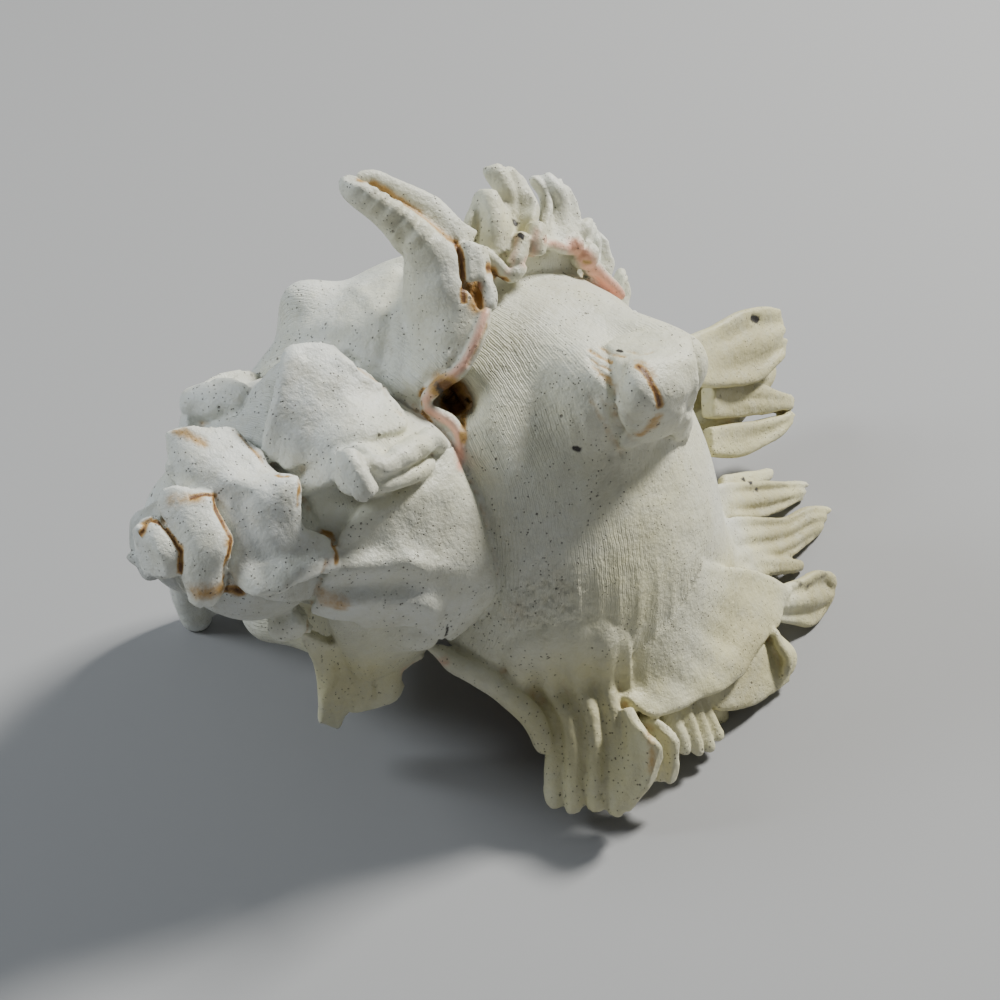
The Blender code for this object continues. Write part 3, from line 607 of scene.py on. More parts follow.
# Sheets and tubes that follow the shell's own ones, as places in the shell's own axes. Their
# notes name what they belong to: V0 is the rib at the lip, V1 to V5 are the ribs before it,
# W2 to W5 the swellings that face the camera, and K2 is the knob between V4 and V5.
sheets = (
    dict(  # knob
        grid=(
            ((79.8, 24.6, 53.1), (86.3, 25.6, 54.8), (89.9, 25.5, 59.8), (94, 24.1, 63.8)),
            ((77.4, 21.3, 57), (80, 22.2, 59.2), (84.7, 22.8, 61.8), (91.4, 22.2, 65.7)),
            ((76.6, 17.1, 58.1), (76.7, 20.4, 62.7), (80.7, 20.5, 64.5), (90.2, 18.4, 66.6)),
            ((77.7, 12.8, 57.5), (75.9, 15.9, 63.8), (80.8, 15.6, 65.2), (93.2, 13.5, 64)),
            ((80.1, 8.6, 55.5), (80.6, 10.8, 60.3), (84.3, 10.9, 62.2), (107.1, 7, 52.6)),
            ((81.1, 5.1, 52), (85.8, 5.8, 55.4), (93.2, 5.4, 56), (104.8, 2.8, 52.7)),
        ),
        thick=3, notch=0, pleat=0,
    ),
    dict(  # V1 wall
        grid=(
            ((49.6, 61.6, 20.2), (48.8, 61.9, 21.5), (48.7, 62, 22.2), (49.3, 62, 22.1)),
            ((49.7, 59.6, 20), (48.3, 59.9, 23), (48.7, 60.4, 24.2), (50.1, 60.6, 24.2)),
            ((50.8, 57.6, 21), (49.4, 57.9, 24.2), (49.8, 58.5, 25.6), (51.5, 58.9, 25.7)),
            ((52.7, 55.3, 22.2), (50.9, 56, 25.7), (51.5, 56.8, 27.1), (53.3, 57.6, 27.1)),
            ((55.3, 51.8, 23.6), (53.3, 52.9, 27.4), (53.7, 54, 29), (55.7, 55.2, 28.9)),
            ((57.2, 48.3, 24.4), (55.2, 49.5, 28.7), (55.8, 50.8, 30.6), (58.1, 52.2, 30.9)),
            ((58.6, 45.8, 24.3), (56.7, 46.3, 29.3), (57.8, 47.3, 32), (60.8, 48.7, 32.9)),
            ((60, 42.8, 23.4), (57.7, 43.2, 29.2), (58.9, 44.2, 32.6), (62.5, 46, 34.1)),
            ((60.7, 39, 21.9), (58.4, 38.9, 28.2), (59, 39.5, 32.5), (62.4, 40.1, 34.8)),
            ((61.1, 35.2, 20.1), (59.2, 34.8, 27.4), (60.4, 34.7, 32.8), (64.3, 34.9, 36.5)),
            ((61.1, 30.8, 18.6), (59, 30.3, 25.8), (59.4, 29.8, 31.9), (62.7, 29.4, 36.1)),
            ((60.5, 27, 18), (58.7, 26.4, 23.9), (58.6, 25.8, 29.5), (60.7, 25, 34.1)),
            ((57.1, 22, 17.4), (56.5, 21.4, 21.5), (56.7, 20.9, 25), (57.7, 20.4, 27.9)),
        ),
        thick=2.2, notch=0, pleat=0, flute=0.7, flutes=15, fluteEnd=0.55,
    ),
    dict(  # V1 far lip
        grid=(
            ((50.7, 60.9, 20.9), (51.4, 62.1, 21.5), (52.5, 62.8, 21.9)),
            ((52.8, 59.2, 22.2), (53.3, 61.1, 23.2), (55, 62.7, 23.4)),
            ((55.4, 56.7, 24.6), (56, 59.1, 25.2), (57.4, 61.1, 25)),
            ((57.9, 53.9, 26.7), (58.6, 56.6, 27.3), (60.1, 59.2, 27.1)),
            ((60.2, 51, 28.5), (61, 54, 29.3), (62.8, 57.1, 29.2)),
            ((62.6, 47.6, 30.5), (63.4, 51.4, 31.2), (64.3, 55.7, 29.8)),
            ((64, 44.3, 31.8), (65.2, 48, 32.6), (66.8, 51.7, 32.1)),
            ((65, 41.7, 32.8), (66.9, 45.9, 33.4), (69.5, 49.5, 33.5)),
        ),
        thick=2.2, notch=0, pleat=0,
    ),
    dict(  # W3 face
        grid=(
            ((15.6, 19.5, 0.3), (17.2, 19.9, 2.9), (20.6, 18.8, 4.9), (25.4, 18.4, 6.8)),
            ((14.9, 16.4, 0.9), (16.6, 16.8, 5.1), (20.9, 16.5, 7.4), (26.4, 15.4, 9.5)),
            ((13.8, 13.4, 2.1), (15.7, 14, 6.6), (20, 13.8, 9.5), (26.7, 13.2, 11.9)),
            ((13.4, 10, 4), (15.8, 10.4, 8.4), (20.3, 10.4, 12.7), (27.2, 9.5, 15.7)),
            ((16.4, 7.6, 9.4), (18.7, 7.3, 13.2), (21.4, 7.8, 18.3), (26.1, 8.9, 21.8)),
            ((16.2, 4.7, 9.8), (18.8, 4.2, 14.6), (21.3, 4.7, 19.4), (25.7, 4.2, 21.4)),
            ((16.4, -0.3, 11.8), (18.9, -0.2, 16.1), (22, -0.1, 19.4), (27.5, -0.2, 19.8)),
            ((15.2, -4.4, 11.5), (18.1, -4.5, 16.1), (22.8, -4.5, 19.8), (31.8, -3.5, 21.7)),
            ((15.7, -6.7, 12.7), (16.4, -8, 17.9), (21.8, -7.4, 21.4), (32.4, -6.4, 23)),
            ((16.5, -8.5, 13.1), (15.8, -10.6, 19.3), (21.9, -9.8, 21.8), (31.6, -8.5, 22.6)),
        ),
        thick=2.4, notch=0.02, pleats=3, pleat=0.15, backed=2.2,
    ),
    dict(  # W4 face
        grid=(
            ((10.1, 9.3, 3.3), (10.8, 10.1, 5.3), (12.7, 8.4, 7.7)),
            ((8.8, 6.8, 3.3), (10.3, 6.9, 7.9), (15.4, 8.1, 10.3)),
            ((8.5, 4.1, 5.1), (10.4, 4.5, 9.5), (14.7, 5.3, 11.6)),
            ((8.4, 1, 6.6), (10.5, 1.2, 11.3), (15.1, 0.3, 13.9)),
            ((8.3, -1.7, 7.6), (10.1, -2.2, 11.6), (14.2, -1.5, 14.2)),
            ((8.3, -4.7, 7), (10.1, -5.5, 11), (14.3, -5.8, 12)),
            ((9.5, -7.9, 6.9), (10.3, -8.3, 10.2), (14.3, -8.8, 10.5)),
            ((11, -10.3, 6.1), (10.8, -11.5, 8.5), (13.9, -11, 9)),
        ),
        thick=2.2, notch=0.02, pleats=2, pleat=0.1, backed=2.2,
    ),
    dict(  # W5 face
        grid=(
            ((6.5, 4.8, 0.7), (7, 5.1, 2.6), (7.5, 4.1, 4.3)),
            ((5.4, 2.6, 0.1), (5.6, 2.6, 4.5), (7.7, 1.7, 6.5)),
            ((4.8, 0.3, 0.1), (5.1, -0.2, 5.4), (8, -0.7, 8.1)),
            ((5.1, -2.5, 0.5), (5.2, -3, 5.2), (8, -3.3, 7.6)),
            ((6.5, -4.4, 0.7), (6.6, -5.1, 4.2), (8.7, -5, 6)),
        ),
        thick=1.8, notch=0, pleat=0, backed=2.2,
    ),
    dict(  # K2 face
        grid=(
            ((34.6, 32, 14.2), (37.1, 32.3, 15.5), (40.2, 31.9, 17), (43.4, 30.5, 17.9)),
            ((33, 29.2, 14.2), (36, 29.4, 16.8), (39.7, 28.9, 18.9), (43.9, 28.3, 20.4)),
            ((31.6, 26, 14.2), (35, 25.8, 17.9), (39.5, 25.4, 20.7), (46.7, 24.8, 22.4)),
            ((30.5, 22.8, 13.7), (33.9, 22.2, 18.8), (39, 21.9, 22.1), (49, 21, 24.5)),
            ((29.5, 19.3, 12.8), (32.8, 18.3, 19.2), (38.1, 18.5, 24), (48.9, 17.9, 27.7)),
            ((28.8, 15.7, 11.8), (31.5, 14.7, 18.8), (35.1, 15.2, 24.6), (45.2, 15, 31.4)),
            ((28, 12.1, 11.5), (30.5, 10.5, 17.5), (32.8, 11.9, 23.8), (38.2, 13.5, 29)),
        ),
        thick=2.4, notch=0, pleat=0, backed=2.2,
    ),
    dict(  # W2 face
        grid=(
            ((40.5, 4.5, 24.9), (44.4, 6.1, 27.7), (50, 7.8, 30.1), (56.1, 9.4, 31.6), (61.1, 9, 29.8)),
            ((36.8, 1.1, 25.2), (42.2, 2.3, 29.1), (49.2, 3.3, 32.5), (56.7, 3.2, 33.6),
             (63, 2.5, 30.3)),
            ((34, -1.8, 24), (40.5, -1.1, 28.3), (48.7, -0.8, 32.3), (58.6, -1.8, 34.3),
             (65, -2.6, 30.7)),
            ((33, -5, 22.7), (40.4, -5.5, 27.6), (49.3, -6.2, 32.2), (59.9, -8.7, 34.4),
             (67.1, -9.8, 30.1)),
            ((32.2, -8, 22.6), (39.7, -9.7, 27.6), (48.9, -11.7, 31.8), (60.2, -14.2, 34.6),
             (67.5, -15.8, 30.2)),
            ((31.1, -10.7, 19.4), (39.2, -13.2, 25), (48.8, -15.6, 30), (61.4, -19.2, 33.2),
             (67.3, -21, 29.6)),
            ((31.1, -14.2, 17.8), (38.8, -16.8, 23.4), (47.4, -18.6, 28.2), (59.2, -22.8, 29.7),
             (65.1, -25.1, 26.2)),
            ((32.1, -17.2, 14.7), (39.8, -20.7, 19.3), (46.8, -22.7, 24.2), (53.9, -26.4, 26.4),
             (58.9, -28.8, 22.8)),
        ),
        thick=2.2, notch=0, pleat=0,
    ),
    dict(  # V0 blade
        grid=(
            ((68.5, -28.2, 29.3), (69.9, -23.4, 36.5), (74.2, -21.8, 41.4), (80, -22.5, 45.1),
             (88.4, -25.9, 47.7)),
            ((70.5, -35.6, 28), (70.5, -32.4, 35.2), (74.4, -31.9, 39.8), (79.7, -32.6, 43.7),
             (88.2, -35.5, 46.1)),
            ((76.8, -45.7, 25.1), (77.2, -42.5, 30.7), (79.4, -41.7, 35.7), (83.5, -41.9, 40.4),
             (90.1, -44.2, 44.1)),
            ((77.8, -49.9, 28.7), (78.1, -48.5, 32.5), (79.8, -48, 36.6), (83, -48.4, 40.7),
             (88.9, -50.1, 44.7)),
            ((78.3, -54.8, 29.9), (78.2, -54.7, 33.4), (79.5, -54.7, 37.2), (82.3, -55.6, 41),
             (88, -56.9, 44.7)),
            ((77.3, -60.8, 29.6), (77.6, -61.6, 33.4), (79.3, -62.4, 37.3), (82, -63.4, 41.4),
             (87.1, -63, 44.3)),
            ((77, -65.4, 28.9), (78.6, -68.4, 34.2), (80.3, -68.3, 38), (82.7, -69.7, 41.4),
             (86.9, -68.2, 44.3)),
        ),
        thick=2.2, pleats=4.5, pleat=0.9, notch=0.04,
    ),
    dict(  # frond 1
        grid=(
            ((70.5, 48.2, 29.4), (73.4, 45.9, 30.2), (73.4, 44.7, 33.6), (77.3, 45.2, 35)),
            ((72, 52.2, 30.3), (74.5, 50.7, 30.5), (74.2, 49.8, 34.2), (79, 49.4, 34.6)),
            ((73.8, 54.2, 30.4), (75.5, 54, 31), (75, 54.2, 33.4), (79.4, 53.4, 32.6)),
            ((75.5, 56.6, 30.4), (76.2, 57.1, 31.1), (76.1, 57.1, 32.5), (78.1, 56.3, 32)),
        ),
        thick=2.2,
    ),
    dict(  # frond 2
        grid=(
            ((77.9, 45.4, 32.6), (81.2, 44.6, 33.6), (82.4, 44.4, 35.1), (84.8, 45.5, 36.2)),
            ((79.9, 50.1, 32.4), (83.6, 49.9, 32.2), (84.5, 49.6, 34), (84.5, 49.4, 36.5)),
            ((81, 54.4, 31.1), (83.8, 53.8, 31.6), (86.1, 53.6, 32.8), (87.3, 53.2, 35.8)),
            ((80.8, 57.1, 30.4), (82.1, 57.2, 31.9), (84.8, 57.1, 32), (88, 56.6, 32.8)),
            ((80.5, 59.1, 29.5), (81.3, 59.5, 31.2), (84.2, 59.5, 31.6), (87.5, 58.9, 31.7)),
            ((79.7, 61.4, 28.9), (80.8, 61.7, 30.1), (82.6, 61.2, 30.8), (84.9, 60.4, 31.4)),
        ),
        thick=2.6,
    ),
    dict(  # frond 3
        grid=(
            ((86.1, 45.4, 36.1), (90, 44.7, 36.3), (94.1, 44.7, 36.5), (98.6, 45.7, 36.8)),
            ((88.9, 49.8, 35.4), (93.1, 49.2, 34.3), (95.5, 49.3, 35.6), (99.6, 48.6, 35.9)),
            ((91.2, 52.5, 34.4), (94.8, 52.9, 33.8), (95.9, 52.7, 35.2), (99.5, 51.5, 35.1)),
            ((92.1, 55.5, 33.2), (94.8, 55.9, 33.2), (94.9, 55.8, 34.9), (98.3, 54.8, 34.5)),
            ((90.2, 58.7, 31.8), (92.2, 58.9, 32.6), (94.9, 58.5, 32.8), (96.7, 57.2, 33.7)),
        ),
        thick=2.2, pleats=2, pleat=0.5,
    ),
    dict(  # collar
        grid=(
            ((64.2, 47.4, 33.8), (65.5, 47.6, 34.8), (66.8, 46.8, 35.5), (68.7, 45.9, 35.6)),
            ((64, 44.1, 34.5), (65.1, 44, 35.6), (66.4, 43.8, 36.2), (69, 42.4, 35.9)),
            ((63.3, 40.6, 35), (64.6, 40.2, 35.9), (66.2, 40.2, 36.5), (68.6, 39.2, 36.2)),
        ),
        thick=2,
    ),
    dict(  # collar foot
        grid=(
            ((68.2, 42.9, 30.9), (70, 42.6, 32.3), (70.8, 42, 34.3)),
            ((67.9, 39.5, 30.5), (69.9, 39.2, 32.1), (70.3, 38.6, 34.4)),
            ((67.4, 36.8, 31.3), (69.2, 36.5, 32.8), (69.3, 36.3, 35.3)),
            ((66, 34.2, 32.6), (67.5, 33.9, 34.1), (67.9, 34, 35.7)),
        ),
        thick=2.2,
    ),
    dict(  # V0 leaf
        grid=(
            ((86.7, -49.2, 43.4), (85.6, -48.2, 45), (85.1, -48, 45.9), (84.6, -48.6, 47)),
            ((85.6, -52.7, 42.8), (84.7, -52, 45.5), (84.6, -52, 47.7), (84.6, -52.5, 50.3)),
            ((84.4, -56.6, 41.4), (83.9, -55.7, 45.3), (84.2, -55.1, 49.3), (85.5, -55.4, 52.7)),
            ((83, -61.5, 40.8), (83, -60.5, 44.6), (84.4, -60.2, 48.5), (86.3, -60.8, 51.8)),
            ((82.5, -65.8, 40.3), (82.6, -65.6, 42.7), (83.8, -65.5, 45.1), (85.4, -65.6, 46.9)),
            ((82.8, -68.2, 40.5), (83, -68.7, 41.6), (83.6, -69, 42.8), (84.7, -68.4, 43.9)),
        ),
        thick=1.9,
    ),
    dict(  # V0 leaf back
        grid=(
            ((93, -53.1, 41.5), (92.4, -51.3, 44.4), (92, -51.8, 46.3)),
            ((92.8, -56.1, 42.7), (93.5, -54.9, 47.3), (94, -56.1, 50.5)),
            ((93, -61, 43.2), (94, -59.9, 47.4), (94.7, -60.9, 50)),
            ((94, -66, 43.2), (94.4, -65.2, 46.7), (95.3, -66.1, 48.7)),
        ),
        thick=2, pleats=3, pleat=0.3,
    ),
    dict(  # frond b
        grid=(
            ((97.6, -47.4, 43.5), (102.5, -47.6, 44.7), (108.9, -48.8, 44.8), (114.8, -50.7, 44.4)),
            ((98.8, -53, 44.5), (103.2, -53.4, 46), (108.4, -54.4, 46.2), (114.2, -55.5, 45.5)),
            ((100.1, -57.5, 45.5), (104.6, -58.7, 46.4), (109.7, -59.7, 46.5), (115.8, -59.7, 46)),
            ((101.8, -61.2, 45.2), (106.1, -63.2, 46.1), (111, -63.9, 46.6), (117.1, -61.7, 46.4)),
        ),
        thick=2.2, pleats=4, pleat=0.5, notch=0.12,
    ),
    dict(  # apron
        grid=(
            ((107, -21.9, 52.2), (102.7, -27.3, 51.4), (98.5, -31.6, 49.8), (93.9, -35.2, 47.6),
             (89.4, -38, 44.4), (85, -40.6, 40.3)),
            ((117.9, -25.5, 49.7), (111.8, -30.4, 50.5), (105.3, -34.6, 50.1), (98.2, -38.3, 48.7),
             (92.1, -41.3, 45.6), (87.5, -45, 40.9)),
            ((131.9, -29.4, 46.9), (126.3, -35.2, 47.7), (118.1, -39.8, 48.4), (107.7, -43.3, 49.2),
             (97.9, -46, 47.5), (87.3, -46.8, 44.3)),
            ((141.3, -32.9, 46.4), (136.7, -38.4, 47.5), (127.2, -42.8, 48.9), (115, -46.8, 50),
             (103.6, -49.1, 48.7), (89.6, -49.8, 46.2)),
            ((149.7, -37.5, 46.3), (144.7, -42, 46.9), (131.3, -46, 49), (120.2, -49.8, 49.9),
             (106, -51, 48.9), (92.9, -51.8, 46.9)),
        ),
        thick=2.2, notch=0, pleats=6, pleat=0.1,
    ),
    dict(  # frond c
        grid=(
            ((117.7, -46.4, 45.3), (114.4, -48.6, 45.7), (109.1, -49.8, 46)),
            ((125.2, -46, 46.4), (122, -50.5, 46.7), (115.8, -55.9, 46)),
            ((131.5, -45.7, 46.9), (128.9, -50.8, 47.9), (125.2, -57.9, 47.4)),
            ((138.1, -46, 46.1), (136.5, -50.9, 48.4), (133.6, -57.4, 47.9)),
            ((140.5, -46, 47.5), (141.4, -51.1, 49.7), (139, -55.8, 49.4)),
            ((137.5, -44.4, 48.2), (137.5, -48.8, 50.8), (137.1, -54.1, 49.9)),
        ),
        thick=2.2, pleats=1, pleat=0.3,
    ),
    dict(  # frond d
        grid=(
            ((121.6, -32.5, 45.5), (122, -36, 45.8), (125.1, -39.8, 44.9)),
            ((129.7, -33.4, 45.1), (129.4, -36.6, 45.4), (131.9, -41, 44.6)),
            ((143.4, -36.1, 44.8), (141.5, -39.5, 45.6), (143.3, -43.2, 44.6)),
            ((155.3, -36.9, 45.1), (152.4, -41.1, 45.6), (152.3, -45.7, 44.2)),
            ((163.4, -36.3, 45.2), (161.5, -41.7, 45.7), (158.5, -47.8, 45)),
            ((169.7, -38.5, 45.4), (169.3, -42, 44.9), (165.3, -45.9, 44.9)),
            ((168.2, -37.5, 45.8), (166.5, -40.9, 45.3), (163.7, -44.1, 45)),
        ),
        thick=2.2, pleats=2, pleat=0.4,
    ),
    dict(  # frond e
        grid=(
            ((135.5, -19.1, 37.1), (132.4, -25.2, 38.6), (129.7, -30.8, 40.5)),
            ((147.9, -21, 35.1), (144.3, -27.2, 36.9), (141.3, -32.7, 39.2)),
            ((162.6, -24, 32.9), (160.1, -29.7, 34.3), (157.8, -34.6, 35.7)),
            ((173.6, -25.9, 32.3), (171.6, -30.3, 33.3), (169.8, -34.7, 34.4)),
            ((182.9, -25.5, 32.4), (181.5, -29.1, 33.1), (179.9, -33.2, 33.6)),
            ((193.5, -27.2, 32.8), (192.3, -28.7, 32.5), (188.6, -31.2, 32.6)),
        ),
        thick=2.4, pleats=3, pleat=0.5,
    ),
    dict(  # foot of frond e
        grid=(
            ((147, -29.3, 37.3), (144.3, -34.5, 38.4)),
            ((160.1, -32.5, 36.4), (159.4, -36.3, 36.4)),
            ((173.2, -36.6, 35.8), (173, -37.8, 35.8)),
        ),
        thick=2,
    ),
    dict(  # frond f
        grid=(
            ((145.7, -13.3, 30.7), (141.4, -20.3, 32.6)),
            ((159, -15.2, 28.2), (154.2, -22.5, 30.4)),
            ((173.5, -17.4, 25.6), (169.1, -25.1, 27.5)),
            ((186.7, -19.6, 24.6), (183.6, -25.6, 25.3)),
            ((198.1, -21.7, 24.5), (195.8, -24.9, 24.1)),
        ),
        thick=2.4, pleats=2, pleat=0.6,
    ),
    dict(  # side of frond f
        grid=(
            ((166.9, -15, 20.2), (162.9, -18.2, 22.4)),
            ((182.2, -16.4, 18.4), (179, -19.6, 20)),
            ((192.4, -17.7, 18.3), (191.9, -19.1, 18.2)),
        ),
        thick=1.8,
    ),
    dict(  # canal fan
        grid=(
            ((157.9, 19.4, 20.1), (156.5, 14.8, 21), (155.7, 8.7, 21.3)),
            ((169.7, 20.6, 19.8), (168.2, 14.8, 20.9), (166.4, 6.9, 22)),
            ((180.9, 22.7, 20.2), (179.1, 15.6, 21.1), (177.2, 5.9, 22.6)),
            ((190.7, 22.8, 20.9), (188.6, 15.7, 21.5), (186.1, 6.7, 22)),
            ((198.5, 21.2, 21.2), (198.3, 15.5, 22.1), (196.7, 10.7, 22.9)),
        ),
        thick=2.6, pleats=2, pleat=0.4, notch=0.04,
    ),
    dict(  # finger 1
        grid=(
            ((166.1, 6.6, 19.3), (164.8, -0.3, 19.3)),
            ((177.4, 6.3, 18.8), (176, -1.8, 18.8)),
            ((186.8, 4.7, 19.4), (185.5, -2.4, 19.4)),
            ((194.7, 1.9, 20), (193.8, -2.9, 20)),
            ((200.9, -1, 20.2), (200.6, -2.9, 20.2)),
        ),
        thick=3.4,
    ),
    dict(  # finger 2
        grid=(
            ((164.4, -2.7, 19.3), (162.4, -8.8, 19.9)),
            ((176.1, -3.5, 19.4), (174.7, -11, 19.4)),
            ((185.1, -4.4, 19.4), (184, -10.6, 19.4)),
            ((193.5, -4.4, 20), (192.6, -9.2, 20)),
            ((200.6, -4.2, 20.6), (200.4, -5.7, 20.6)),
        ),
        thick=3, pleats=1, pleat=0.3,
    ),
    dict(  # V4 flap
        grid=(
            ((29.9, 13.3, 29.2), (29.8, 13.3, 31.4), (32.4, 11.8, 30.9)),
            ((29.2, 10.9, 29.7), (29.2, 11.2, 32.8), (32.2, 9.7, 31.9)),
            ((29.3, 7.6, 31.3), (29.5, 8.3, 33.7), (32.9, 7.3, 32.6)),
            ((30.4, 4.1, 32.6), (30.5, 4.8, 34.1), (33.6, 5.7, 32.9)),
        ),
        thick=2,
    ),
    dict(  # V2 web
        grid=(
            ((57.8, -11, -44.1), (60.3, -11.9, -40.9), (62.9, -12.8, -37.6), (65.4, -15, -34.1)),
            ((66, -22.4, -55.5), (68.1, -21.6, -51.5), (70.5, -22, -47), (72.4, -23.4, -42.8)),
            ((70.2, -32.1, -61), (71.6, -29.4, -56.7), (73.6, -28.8, -51.2), (74.9, -31.2, -47.5)),
        ),
        thick=2.4,
    ),
    dict(  # V3 skirt
        grid=(
            ((40.3, -23.1, 2.4), (45.5, -26.3, 3.7), (53.1, -29, 5.6), (61.1, -31.9, 7.4),
             (67.8, -34.5, 9.2)),
            ((45.5, -31.5, 0), (49.8, -33.1, 1.2), (54.7, -35.1, 3.1), (59.8, -36.3, 5.1),
             (64.4, -36.5, 6.4)),
            ((49.8, -39, -4.1), (52.1, -40, -2.8), (54.7, -40.3, 0), (59.3, -40.9, 2.9),
             (64, -39.9, 4.9)),
            ((54.5, -46.8, -9.9), (57.5, -47.6, -9.2), (55.6, -43.2, -3), (59.7, -43.6, 1.5),
             (65.7, -40.1, 4.2)),
        ),
        thick=2.4, pleats=3, pleat=0.4,
    ),
)
